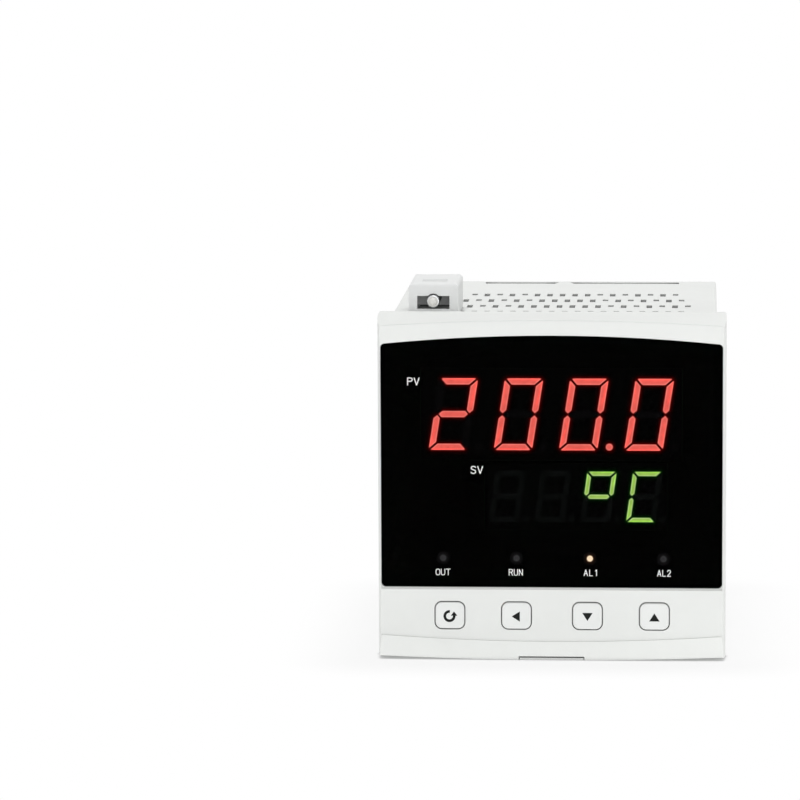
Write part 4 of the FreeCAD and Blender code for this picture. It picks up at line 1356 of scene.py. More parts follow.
@dataclass
class Label:
    """One printed word on the lens.

    Args:
        words: What it says.
        x: Its centre, in millimetres.
        z: Its centre, in millimetres.
        width: Its whole width, in millimetres.
        height: The height of its letters, in millimetres.
        stretch: How wide its letters are against the plain ones.
        layer: How much each run of ink stands over the last, in millimetres.
    """

    words: str
    x: float
    z: float
    width: float
    height: float
    stretch: float = 1.0
    layer: float = 0.0004

    def mesh(self, pen: float, depth: float, front: float) -> bpy.types.Mesh:
        """Write the word.

        Args:
            pen: The width of a stroke, in millimetres.
            depth: The thickness of the ink, in millimetres.
            front: Where its front lies along Y, in metres.

        Returns:
            Its mesh.
        """
        tall = self.height - pen
        letter = LETTER_WIDTH * self.stretch * tall
        step = (self.width - pen - letter) / (len(self.words) - 1)
        builds: list[bmesh.types.BMesh] = []
        for place, mark in enumerate(self.words):
            left = self.x + (pen - self.width) / 2.0 + place * step
            for stroke in STROKES[mark]:
                path = [
                    (left + u * self.stretch * tall, self.z + (v - 0.5) * tall) for u, v in stroke
                ]
                for outline in ribbon(path, pen):
                    layer = front - len(builds) * self.layer * MM
                    axes = axes_of(
                        (MM, 0.0, 0.0), (0.0, 0.0, MM), (0.0, MM, 0.0), (0.0, layer, 0.0)
                    )
                    builds.append(prism(outline, depth, axes))
        return baked("print_" + self.words.lower(), *builds)


@dataclass
class Window:
    """The smoked lens, the mask behind it and the words printed on it."""

    ink: PrintedInk = PrintedInk("label_ink", (0.97, 0.97, 0.97), 0.6, 0.2)
    ink_depth: float = 0.012
    proud: float = 0.02
    pen_share: float = 0.108
    labels: list[Label] = field(default_factory=lambda: [
        Label("PV", -37.95, 29.6, 3.35, 2.2, 1.12),
        Label("SV", -20.55, 5.1, 3.4, 2.2, 1.12),
        Label("OUT", -29.93, -23.45, 4.1, 1.85, 1.06),
        Label("RUN", -9.8, -23.45, 3.95, 1.85, 0.98),
        Label("AL1", 10.95, -23.45, 4.1, 1.85, 0.98),
        Label("AL2", 31.05, -23.45, 3.85, 1.85, 0.95),
    ])

    def dress(self) -> None:
        """Give the lens and the mask their finish."""
        Wardrobe.dress("display_window", "display_mask")

    def print_labels(self) -> list[bpy.types.Object]:
        """Print the words on the front of the lens."""
        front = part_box("display_window")[0].y - self.proud * MM
        pieces = []
        for label in self.labels:
            pen = self.pen_share * label.height
            mesh = label.mesh(pen, self.ink_depth, front)
            pieces.append(make_piece(mesh.name, mesh, "chassis", self.ink))
        return pieces


@dataclass
class ReadOuts:
    """The two seven-segment displays, with the light in their bars and round them."""

    rim: float = 0.15
    edge_widths: tuple[float, float] = (0.28, 0.22)
    core_depth: float = 0.012
    film_depth: float = 0.004
    cell: float = 0.2
    reach: float = 1.5
    fall: float = 0.28

    def dress(self) -> None:
        """Give the blocks and their bars their finish."""
        for sort in ("pv", "sv"):
            Wardrobe.dress(sort + "_display", sort + "_segments_lit", sort + "_segments_unlit")

    def plates(self, node: str, inset: float, lift: float) -> bpy.types.Mesh:
        """A thin glowing plate on each lit bar.

        Args:
            node: The CAD node with the lit bars.
            inset: How far the plate's edge lies inside the bar's, in millimetres.
            lift: How far the plate's back stands off the bar, in millimetres.

        Returns:
            The plates' mesh.
        """
        build = bmesh.new()
        build.from_mesh(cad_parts[node].data)
        bmesh.ops.remove_doubles(build, verts=build.verts, dist=1e-6)
        fronts = [f for f in build.faces if f.normal.y < -0.9]
        bmesh.ops.delete(
            build, geom=[f for f in build.faces if f not in set(fronts)], context="FACES"
        )
        whole = bmesh.ops.dissolve_limit(
            build, angle_limit=0.01, verts=build.verts, edges=build.edges
        )["region"]
        faces = [f for f in whole if isinstance(f, bmesh.types.BMFace)] or list(build.faces)
        bmesh.ops.inset_individual(build, faces=faces, thickness=inset * MM, use_even_offset=True)
        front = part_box(node)[0].y - (lift + self.core_depth) * MM
        axes = axes_of(ALONG_X, ALONG_Z, ALONG_Y, (0.0, front, 0.0))
        made = [
            prism([(v.co.x, v.co.z) for v in f.verts], self.core_depth * MM, axes) for f in faces
        ]
        build.free()
        return baked(node + "_plates", *made)

    def film(self, node: str, block: str) -> bpy.types.Mesh:
        """A film on the block's face that holds how much light falls at each place.

        Args:
            node: The CAD node with the lit bars.
            block: The CAD node whose face the film lies on.

        Returns:
            The film's mesh, with its glow attribute.
        """
        low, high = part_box(node)
        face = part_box(block)[0].y
        far, cell = self.reach * MM, self.cell * MM
        surface = node_surface(node)
        levels: dict[tuple[int, int], float] = {}
        columns = int((high.x - low.x + 2.0 * far) / cell) + 1
        rows = int((high.z - low.z + 2.0 * far) / cell) + 1
        for i in range(columns):
            for j in range(rows):
                spot = Vector((low.x - far + i * cell, face, low.z - far + j * cell))
                away = surface.find_nearest(spot, far)[3]
                if away is not None:
                    levels[i, j] = math.exp(-away / (self.fall * MM)) * (1.0 - away / far)
        squares = [((i, j), (i + 1, j), (i + 1, j + 1), (i, j + 1)) for i, j in levels]
        squares = [square for square in squares if all(spot in levels for spot in square)]
        build = bmesh.new()
        glow = build.verts.layers.float.new(GLOW)
        fronts, backs = {}, {}
        for i, j in dict.fromkeys(spot for square in squares for spot in square):
            x, z = low.x - far + i * cell, low.z - far + j * cell
            for side, y in ((fronts, face - self.film_depth * MM), (backs, face)):
                side[i, j] = build.verts.new((x, y, z))
                side[i, j][glow] = levels[i, j]
        edges = {pair for square in squares for pair in zip(square, square[1:] + square[:1])}
        for square in squares:
            build.faces.new([fronts[spot] for spot in square])
            build.faces.new([backs[spot] for spot in reversed(square)])
            for a, b in zip(square, square[1:] + square[:1]):
                if (b, a) not in edges:
                    build.faces.new((fronts[b], fronts[a], backs[a], backs[b]))
        bmesh.ops.recalc_face_normals(build, faces=build.faces)
        return baked(node + "_film", build)

    def light(self) -> list[bpy.types.Object]:
        """Make the bright cores and the films of both displays."""
        pieces = []
        sorts = (
            ("pv", RED_CORE, RED_EDGE, RED_HALO, Slot.RED_LIT, self.edge_widths[0]),
            ("sv", GREEN_CORE, GREEN_EDGE, GREEN_HALO, Slot.GREEN_LIT, self.edge_widths[1]),
        )
        for sort, core, edge, halo, slot, width in sorts:
            node = sort + "_segments_lit"
            outer = self.plates(node, self.rim, 0.0)
            inner = self.plates(node, self.rim + width, self.core_depth)
            pieces.append(make_piece(sort + "_bar_edges", outer, "chassis", edge))
            pieces.append(make_piece(sort + "_bar_cores", inner, "chassis", core))
            film = self.film(node, sort + "_display")
            pieces.append(make_piece(sort + "_bar_halo", film, "chassis", halo))
        return pieces


@dataclass
class IndicatorRow:
    """The four indicator lamps and their light guides."""

    hole_radius: float = 0.82
    halo_radius: float = 1.9
    halo_rings: int = 8
    halo_sides: int = 40
    halo_depth: float = 0.004
    fall: float = 0.3
    parting: float = 5.0

    def dress(self) -> None:
        """Give the lamps and the guides their finish."""
        Wardrobe.dress("indicator_leds", "light_guides", "light_guide_lit")

    def centres(self, node: str) -> list[Vector]:
        """The centre of each guide of a node, in metres.

        Args:
            node: The CAD node with the guides.

        Returns:
            The centres, from left to right.
        """
        places = sorted(
            (v.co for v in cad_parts[node].data.vertices), key=lambda place: place.x
        )
        runs = [[places[0]]]
        for place in places[1:]:
            if place.x - runs[-1][-1].x > self.parting * MM:
                runs.append([])
            runs[-1].append(place)
        height = middle(node).z
        return [Vector(((run[0].x + run[-1].x) / 2.0, 0.0, height)) for run in runs]

    def ring(self, centre: Vector) -> bmesh.types.BMesh:
        """The ring round one guide, with how much light scatters at each place.

        Args:
            centre: The guide's centre, in metres.

        Returns:
            Its bmesh.
        """
        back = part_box("display_window")[1].y
        build = bmesh.new()
        glow = build.verts.layers.float.new(GLOW)
        rings = []
        for step in range(self.halo_rings + 1):
            radius = self.hole_radius + (
                self.halo_radius - self.hole_radius
            ) * step / self.halo_rings
            level = math.exp(
                (self.hole_radius - radius) / self.fall
            ) * (1.0 - step / self.halo_rings)
            for depth in (0.0, self.halo_depth * MM):
                verts = []
                for side in range(self.halo_sides):
                    angle = 2.0 * math.pi * side / self.halo_sides
                    spot = (
                        centre.x + radius * MM * math.cos(angle),
                        back - depth,
                        centre.z + radius * MM * math.sin(angle),
                    )
                    vert = build.verts.new(spot)
                    vert[glow] = level
                    verts.append(vert)
                rings.append(verts)
        order = rings[0::2] + rings[-1::-2]
        for first, second in zip(order, order[1:] + order[:1]):
            for i in range(self.halo_sides):
                j = (i + 1) % self.halo_sides
                build.faces.new((first[i], first[j], second[j], second[i]))
        bmesh.ops.recalc_face_normals(build, faces=build.faces)
        return build

    def light(self) -> list[bpy.types.Object]:
        """Make the rings of scattered light round the lit guide, and a painted glow round the unlit
        ones.
        """
        pieces = []
        for name, node, finish in (
            ("lamp_halo", "light_guide_lit", LAMP_HALO), ("unlit_guide_painted_halos", "light_guides", DIM_HALO)
        ):
            mesh = baked(name, *(self.ring(centre) for centre in self.centres(node)))
            pieces.append(make_piece(name, mesh, "chassis", finish))
        return pieces


class Icon(Enum):
    """The mark on a key."""

    CYCLE = "set"
    LEFT = "shift"
    DOWN = "down"
    UP = "up"


@dataclass
class KeyRow:
    """The four keys, their plungers and switches, and the marks on the caps."""

    ink: PrintedInk = PrintedInk("key_ink", (0.012, 0.013, 0.012), 0.6, 0.1)
    ring_radius: float = 1.3
    ring_width: float = 0.74
    ring_start: float = 84.0
    ring_end: float = 366.0
    ring_shift: float = -0.14
    ring_steps: int = 44
    head: tuple[Flat, Flat, Flat] = ((0.38, 0.12), (2.16, 0.12), (1.26, 1.32))
    arrow_width: float = 2.85
    arrow_height: float = 2.25
    left_shift: float = -0.2
    drop: float = -0.25
    proud: float = 0.015
    depth: float = 0.02
    run: float = 0.35
    cuts: int = 3

    def dress(self) -> None:
        """Give the caps, plungers and switches their finish."""
        for icon in Icon:
            Wardrobe.dress("key_" + icon.value, "plunger_" + icon.value)
        Wardrobe.dress("switch_bodies")

    def ring_loop(self) -> list[Flat]:
        """The outline of the open ring, in millimetres."""
        outer = self.ring_radius + self.ring_width / 2.0
        inner = self.ring_radius - self.ring_width / 2.0
        span, steps = self.ring_end - self.ring_start, self.ring_steps
        turn = [math.radians(self.ring_start + span * i / steps) for i in range(steps + 1)]
        loop = [(outer * math.cos(a), outer * math.sin(a)) for a in turn]
        loop += [(inner * math.cos(a), inner * math.sin(a)) for a in reversed(turn)]
        return [(x + self.ring_shift, z) for x, z in loop]

    def head_loop(self) -> list[Flat]:
        """The outline of the arrow head on the ring's end, in millimetres."""
        return [(x + self.ring_shift, z) for x, z in self.head]

    def arrow_loop(self, icon: Icon) -> list[Flat]:
        """The outline of a plain triangle, in millimetres.

        Args:
            icon: Which way it points.

        Returns:
            Its three corners.
        """
        half, tall = self.arrow_width / 2.0, self.arrow_height / 2.0
        turn = {Icon.UP: 0.0, Icon.LEFT: 90.0, Icon.DOWN: 180.0}[icon]
        cos, sin = math.cos(math.radians(turn)), math.sin(math.radians(turn))
        corners = [(-half, -tall), (half, -tall), (0.0, tall)]
        shift = self.left_shift if icon is Icon.LEFT else 0.0
        return [(x * cos - z * sin + shift, x * sin + z * cos) for x, z in corners]

    def laid_on(self, mesh: bpy.types.Mesh, node: str, x: float, z: float) -> bpy.types.Mesh:
        """Cut a flat mark finely and lay it on a key's dished face.

        Args:
            mesh: The mark, centred on the origin.
            node: The key that carries it.
            x: Where its centre goes, in metres.
            z: Where its centre goes, in metres.

        Returns:
            The laid mark.
        """
        build = bmesh.new()
        build.from_mesh(mesh)
        bmesh.ops.remove_doubles(build, verts=build.verts, dist=1e-7)
        for _ in range(self.cuts):
            long_edges = [e for e in build.edges if e.calc_length() > self.run * MM]
            if long_edges:
                bmesh.ops.subdivide_edges(build, edges=long_edges, cuts=1, use_grid_fill=False)
                bmesh.ops.triangulate(build, faces=[f for f in build.faces if len(f.verts) > 4])
        surface = node_surface(node)
        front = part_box(node)[0].y - 1.0 * MM
        for vert in build.verts:
            hit = surface.ray_cast(
                Vector((vert.co.x + x, front, vert.co.z + z)), Vector((0.0, 1.0, 0.0))
            )[0]
            face = hit.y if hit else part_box(node)[0].y
            vert.co = Vector((vert.co.x + x, face - self.proud * MM + vert.co.y, vert.co.z + z))
        laid = bpy.data.meshes.new(mesh.name + "_laid")
        build.to_mesh(laid)
        build.free()
        return laid

    def print_icons(self) -> list[bpy.types.Object]:
        """Print each key's mark."""
        pieces = []
        for icon in Icon:
            node = "key_" + icon.value
            centre = middle(node)
            if icon is Icon.CYCLE:
                loops = [self.ring_loop(), self.head_loop()]
            else:
                loops = [self.arrow_loop(icon)]
            flats = [
                outline_mesh(node + "_mark", [[(x * MM, z * MM) for x, z in loop]], self.depth * MM)
                for loop in loops
            ]
            mark = merge_meshes(node + "_mark", flats)
            laid = self.laid_on(mark, node, centre.x, centre.z + self.drop * MM)
            pieces.append(
                make_piece("mark_" + icon.value, laid, icon.value + "_key", self.ink)
            )
        return pieces


# ---------------------------------------------------------------------------
# The inside and the housing
# ---------------------------------------------------------------------------


class Face(Enum):
    """A face of an upright board: the board, the side that it looks to, and which way is out."""

    MAIN_INSIDE = ("main_board", -1.0)
    MAIN_OUTSIDE = ("main_board", 1.0)
    POWER_INSIDE = ("power_board", 1.0)
    POWER_OUTSIDE = ("power_board", -1.0)

    def axes(self, y: float, z: float, turn: float = 0.0) -> Matrix:
        """Axes that stand on the face: u along Y, v along Z and w out of the board.

        Args:
            y: The origin's place, in millimetres.
            z: The origin's place, in millimetres.
            turn: How far u and v are turned about w, in degrees.

        Returns:
            The matrix from millimetres on the face to metres in the row frame.
        """
        board, out = self.value
        low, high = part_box(board)
        x = high.x if out > 0.0 else low.x
        stand = axes_of((0.0, MM, 0.0), (0.0, 0.0, MM), (out * MM, 0.0, 0.0), (x, y * MM, z * MM))
        return stand @ Matrix.Rotation(math.radians(turn), 4, "Z")


@dataclass
class PartField:
    """Small parts that repeat over part of a board.

    Args:
        name: The piece's name.
        face: The face that they stand on.
        start: The first place, (y, z) in millimetres.
        steps: The (y, z) distances between places, in millimetres.
        counts: How many places there are along Y and along Z.
        share: How many of the places are filled, from 0 to 1.
        seed: Which ones are.
    """

    name: str
    face: Face
    start: Flat
    steps: Flat
    counts: tuple[int, int]
    share: float = 1.1
    seed: int = 1

    def grow(
        self, part: bpy.types.Mesh, finish: Finish, slot: Slot, suffix: str = ""
    ) -> bpy.types.Object:
        """Repeat one part over the field.

        Args:
            part: The part at the first place.
            finish: What it is made of.
            slot: Not used.
            suffix: What is added to the piece's name.

        Returns:
            The piece.
        """
        mesh = Growth.run(
            part, Growth.field(), finish,
            Rows=self.counts[0], Row_Step=(0.0, self.steps[0] * MM, 0.0),
            Columns=self.counts[1], Column_Step=(0.0, 0.0, self.steps[1] * MM),
            Share=self.share, Seed=self.seed,
        )
        return make_piece(self.name + suffix, mesh, "chassis", finish)


@dataclass
class BoardStack:
    """The boards and what stands on them."""

    joints: list[PartField] = field(default_factory=lambda: [
        PartField("solder_relays", Face.MAIN_OUTSIDE, (43.0, -25.0), (7.0, 7.6), (3, 8), 0.8, 4),
        PartField("solder_main_row", Face.MAIN_OUTSIDE, (8.0, -36.0), (2.54, 72.0), (12, 2)),
        PartField("solder_bobbin", Face.POWER_OUTSIDE, (28.5, -3.5), (15.0, 5.0), (2, 4)),
        PartField("solder_bulk", Face.POWER_OUTSIDE, (56.0, 12.5), (10.0, 7.0), (2, 2)),
        PartField("solder_small_cans", Face.POWER_OUTSIDE, (15.5, -19.5), (5.0, 5.0), (2, 4)),
        PartField("solder_line", Face.POWER_OUTSIDE, (44.0, -30.0), (16.0, 10.0), (3, 2)),
    ])
    resistors: list[PartField] = field(default_factory=lambda: [
        PartField(
            "resistors_chip_side", Face.MAIN_INSIDE, (36.0, -6.0), (2.6, 3.4), (2, 8), 0.75, 3
        ),
        PartField("resistors_low", Face.MAIN_INSIDE, (12.0, -36.0), (4.2, 3.0), (7, 4), 0.6, 8),
        PartField(
            "resistors_main_back", Face.MAIN_OUTSIDE, (12.0, 4.0), (4.4, 4.2), (6, 5), 0.55, 5
        ),
        PartField("resistors_power", Face.POWER_INSIDE, (12.0, 28.0), (4.4, 3.6), (8, 3), 0.6, 6),
        PartField("resistors_rear", Face.POWER_OUTSIDE, (66.0, -30.0), (4.0, 4.0), (4, 9), 0.5, 9),
    ])
    ceramics: list[PartField] = field(default_factory=lambda: [
        PartField("ceramics_chip", Face.MAIN_INSIDE, (13.6, 0.5), (1.0, 3.6), (1, 5)),
        PartField("ceramics_main", Face.MAIN_INSIDE, (10.0, 22.0), (5.0, 4.2), (5, 4), 0.6, 2),
        PartField("ceramics_power", Face.POWER_OUTSIDE, (36.0, 22.0), (5.5, 4.5), (5, 3), 0.6, 7),
    ])
    fillet: tuple[Flat, ...] = (
        (0.0, 1.05), (0.22, 0.72), (0.5, 0.46), (0.85, 0.34), (1.25, 0.3), (1.4, 0.16)
    )
    fillet_sides: int = 16
    body: Point = (2.0, 1.25, 0.5)
    body_inset: float = 0.03
    body_rise: float = 0.02
    cap: float = 0.4
    leg_width: float = 0.36
    leg: tuple[Flat, ...] = (
        (0.0, 0.75),
        (0.35, 0.75),
        (0.7, 0.0),
        (1.2, 0.0),
        (1.2, 0.14),
        (0.78, 0.14),
        (0.43, 0.9),
        (0.0, 0.9),
    )

    controller_pins: tuple[int, float] = (12, 1.0)
    controller_inset: float = 1.5
    converter_pins: tuple[int, float] = (8, 1.27)
    converter_inset: float = 0.55
    finger: Point = (5.0, 2.2, 0.04)
    finger_ease: float = 0.015
    finger_back: float = 5.6
    finger_low: float = -36.0
    finger_pitch: float = 3.6
    finger_count: int = 21

    def dress(self) -> None:
        """Give the boards and their parts their finish."""
        Wardrobe.dress(
            "front_board",
            "main_board",
            "power_board",
            "board_headers",
            "rear_bridge",
            "controller_chip",
            "converter_chip",
        )
        Wardrobe.dress(
            "transformer_core",
            "transformer_bobbin",
            "input_capacitor",
            "output_capacitors",
            "surge_disc",
            "line_fuse",
            "relays",
        )

    def block(self, low: Point, high: Point, axes: Matrix, ease: float = 0.06) -> bmesh.types.BMesh:
        """A small moulded block with eased upper edges.

        Args:
            low: Its low corner on the face, in millimetres.
            high: Its high corner.
            axes: The face's axes.
            ease: How much its edges are cut back.

        Returns:
            Its bmesh.
        """
        outline = [(low[0], low[1]), (high[0], low[1]), (high[0], high[1]), (low[0], high[1])]
        build = prism(outline, high[2] - low[2], axes @ Matrix.Translation((0.0, 0.0, low[2])))
        bmesh.ops.bevel(build, geom=build.edges, offset=ease * MM, segments=1, affect="EDGES")
        return build

    def chip_part(self, face: Face, start: Flat) -> tuple[bpy.types.Mesh, bpy.types.Mesh]:
        """One surface part: its body and its two end caps.

        Args:
            face: The face that it stands on.
            start: Its place, (y, z) in millimetres.

        Returns:
            The body's mesh and the caps' mesh.
        """
        axes = face.axes(*start)
        length, width, height = self.body
        inset = self.body_inset
        low = (-length / 2.0 + self.cap, -width / 2.0 + inset, self.body_rise)
        high = (length / 2.0 - self.cap, width / 2.0 - inset, height - inset)
        body = self.block(low, high, axes, inset)
        caps = [
            self.block(
                (min(end, end + inward), -width / 2.0, 0.0),
                (max(end, end + inward), width / 2.0, height),
                axes,
            )
            for end, inward in ((-length / 2.0, self.cap), (length / 2.0, -self.cap))
        ]
        return baked("part_body", body), baked("part_caps", *caps)

    def stand_small_parts(self) -> list[bpy.types.Object]:
        """Stand the solder joints and the surface parts on the boards."""
        pieces = []
        for place in self.joints:
            standing = place.face.axes(*place.start) @ axes_of(ALONG_Z, ALONG_X, ALONG_Y)
            joint = baked("joint", lathe(list(self.fillet), standing, self.fillet_sides))
            pieces.append(place.grow(joint, TIN, Slot.STEEL))
        for places, finish in ((self.resistors, RESISTOR), (self.ceramics, CERAMIC)):
            for place in places:
                body, caps = self.chip_part(place.face, place.start)
                pieces.append(place.grow(body, finish, Slot.CHIP))
                pieces.append(place.grow(caps, TIN, Slot.STEEL, "_caps"))
        return pieces

    def leg_row(
        self, name: str, face: Face, start: Flat, turn: float, count: int, pitch: float
    ) -> bpy.types.Object:
        """A row of bent legs along one side of a chip.

        Args:
            name: The piece's name.
            face: The face that the chip stands on.
            start: The first leg's root, (y, z) in millimetres.
            turn: Which way the legs point, in degrees from +Y.
            count: How many legs there are.
            pitch: The distance between them, in millimetres.

        Returns:
            The piece.
        """
        tilt = axes_of(ALONG_X, ALONG_Z, ALONG_Y, (0.0, -self.leg_width / 2.0, 0.0))
        leg = baked("leg", prism(list(self.leg), self.leg_width, face.axes(*start, turn) @ tilt))
        along_y = turn % 180.0 == 90.0
        counts = (count, 1) if along_y else (1, count)
        return PartField(name, face, start, (pitch, pitch), counts).grow(leg, TIN, Slot.STEEL)

    def stand_legs(self) -> list[bpy.types.Object]:
        """Give both chips their legs, and the boards their plated fingers."""
        pieces = []
        low, high = (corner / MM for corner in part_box("controller_chip"))
        inset = self.controller_inset
        for side, start, turn in (
            ("front", (low.y, low.z + inset), 180.0),
            ("rear", (high.y, low.z + inset), 0.0),
            ("low", (low.y + inset, low.z), 270.0),
            ("high", (low.y + inset, high.z), 90.0),
        ):
            name = "controller_legs_" + side
            pieces.append(self.leg_row(name, Face.MAIN_INSIDE, start, turn, *self.controller_pins))
        low, high = (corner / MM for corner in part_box("converter_chip"))
        face = Face.POWER_INSIDE if low.x < 0.0 else Face.MAIN_INSIDE
        for side, y, turn in (("front", low.y, 180.0), ("rear", high.y, 0.0)):
            start = (y, low.z + self.converter_inset)
            pieces.append(
                self.leg_row("converter_legs_" + side, face, start, turn, *self.converter_pins)
            )
        length, width, height = self.finger
        for face in Face:
            start = (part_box(face.value[0])[1].y / MM - self.finger_back, self.finger_low)
            near, far = (0.0, -width / 2.0, 0.0), (length, width / 2.0, height)
            finger = baked("finger", self.block(near, far, face.axes(*start), self.finger_ease))
            name = face.name.lower() + "_fingers"
            places = PartField(name, face, start, (0.0, self.finger_pitch), (1, self.finger_count))
            pieces.append(places.grow(finger, GOLD, Slot.NICKEL))
        return pieces


@dataclass
class HousingSet:
    """The housing, the rear cover and the terminals."""

    def dress(self) -> None:
        """Give the housing, cover and terminals their finish."""
        Wardrobe.dress("rear_cover", finish=COVER)
        Wardrobe.dress("housing", "edge_sockets", "terminal_plates", "terminal_screws")


@dataclass
class ClipSet:
    """The mounting clip with its screw and foot."""

    pitch: float = 0.7
    root_cut: float = 0.3
    neck_radius: float = 0.9
    neck_length: float = 1.4
    point_length: float = 0.5
    slot_width: float = 0.8
    slot_depth: float = 1.2
    slot_sides: int = 20
    nose_radius: float = 1.08
    nose_length: float = 1.1
    groove_radius: float = 0.98
    groove_width: float = 0.3
    ease: float = 0.15
    bore_gap: float = 0.05
    bore_floor: float = 0.2
    point_drop: float = 0.25
    overlap: float = 0.1

    def dress(self) -> None:
        """Give the clip its finish."""
        Wardrobe.dress("mounting_clip")

    def turn_foot(self) -> bpy.types.Object:
        """Turn the foot: a collar, a groove and a domed nose, bored for the screw's neck."""
        low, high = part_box("clip_foot")
        centre = (low + high) / 2.0
        collar, length = (high.x - low.x) / 2.0 / MM, (high.y - low.y) / MM
        nose = self.nose_length
        turns = [math.radians(a) for a in range(12, 91, 13)]
        dome = [(nose - nose * math.cos(a), self.nose_radius * math.sin(a)) for a in turns]
        start, ease = nose + self.groove_width, self.ease
        bore, floor = self.neck_radius + self.bore_gap, nose + self.bore_floor
        profile = [
            *dome, (nose, self.groove_radius), (start, self.groove_radius),
            (start, collar - ease), (start + ease, collar), (length, collar),
            (length, bore), (floor, bore), (floor, self.bore_gap),
        ]
        turned = axes_of(ALONG_Y, ALONG_X, ALONG_Z, (centre.x / MM, low.y / MM, centre.z / MM))
        mesh = baked("clip_foot_turned", lathe(profile, Matrix.Scale(MM, 4) @ turned))
        piece = make_piece("turned_foot", mesh, "clip_foot", FINISHES[Slot.FOOT])
        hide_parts("clip_foot")
        return piece

    def cheek(self, radius: float, side: float) -> list[Flat]:
        """The outline of one half of the slotted end.

        Args:
            radius: The screw's root radius, in millimetres.
            side: 1 for the upper half and -1 for the lower one.

        Returns:
            Its outline.
        """
        edge = math.asin(self.slot_width / 2.0 / radius)
        turns = [
            edge + (math.pi - 2.0 * edge) * i / self.slot_sides for i in range(self.slot_sides + 1)
        ]
        return [(radius * math.cos(a), side * radius * math.sin(a)) for a in turns]

    def cut_screw(self) -> bpy.types.Object:
        """Turn the screw, slot its end and cut its thread."""
        low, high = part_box("clip_screw")
        centre = (low + high) / 2.0
        crest = (high.x - low.x) / 2.0 / MM
        root = crest - self.root_cut
        length = (high.y - low.y) / MM
        laid = Matrix.Rotation(math.radians(-90.0), 4, "X") @ Matrix.Scale(MM, 4)
        lying = Matrix.Translation((centre.x, low.y, centre.z)) @ laid
        turned = axes_of(ALONG_Z, ALONG_X, ALONG_Y)
        start, end = self.neck_length, length - self.slot_depth
        neck, ease = self.neck_radius, self.ease
        profile = [
            (0.0, neck - ease), (ease, neck), (start, neck), (start, root - self.point_drop),
            (start + self.point_length, root), (end, root),
        ]
        core = lathe(profile, turned)
        seat = Matrix.Translation((0.0, 0.0, end - self.overlap))
        depth = self.slot_depth + self.overlap
        cheeks = [prism(self.cheek(root, side), depth, seat) for side in (1.0, -1.0)]
        run = end - start - self.point_length
        ridge = Growth.run(
            baked("screw_core", core, *cheeks), Growth.thread(), FINISHES[Slot.STEEL],
            Length=run, Pitch=self.pitch, Root_Radius=root, Crest_Radius=crest,
        )
        ridge.transform(lying)
        piece = make_piece("threaded_screw", ridge, "clip_screw", FINISHES[Slot.STEEL])
        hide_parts("clip_screw")
        return piece


# ---------------------------------------------------------------------------
# Floor, light and camera
# ---------------------------------------------------------------------------


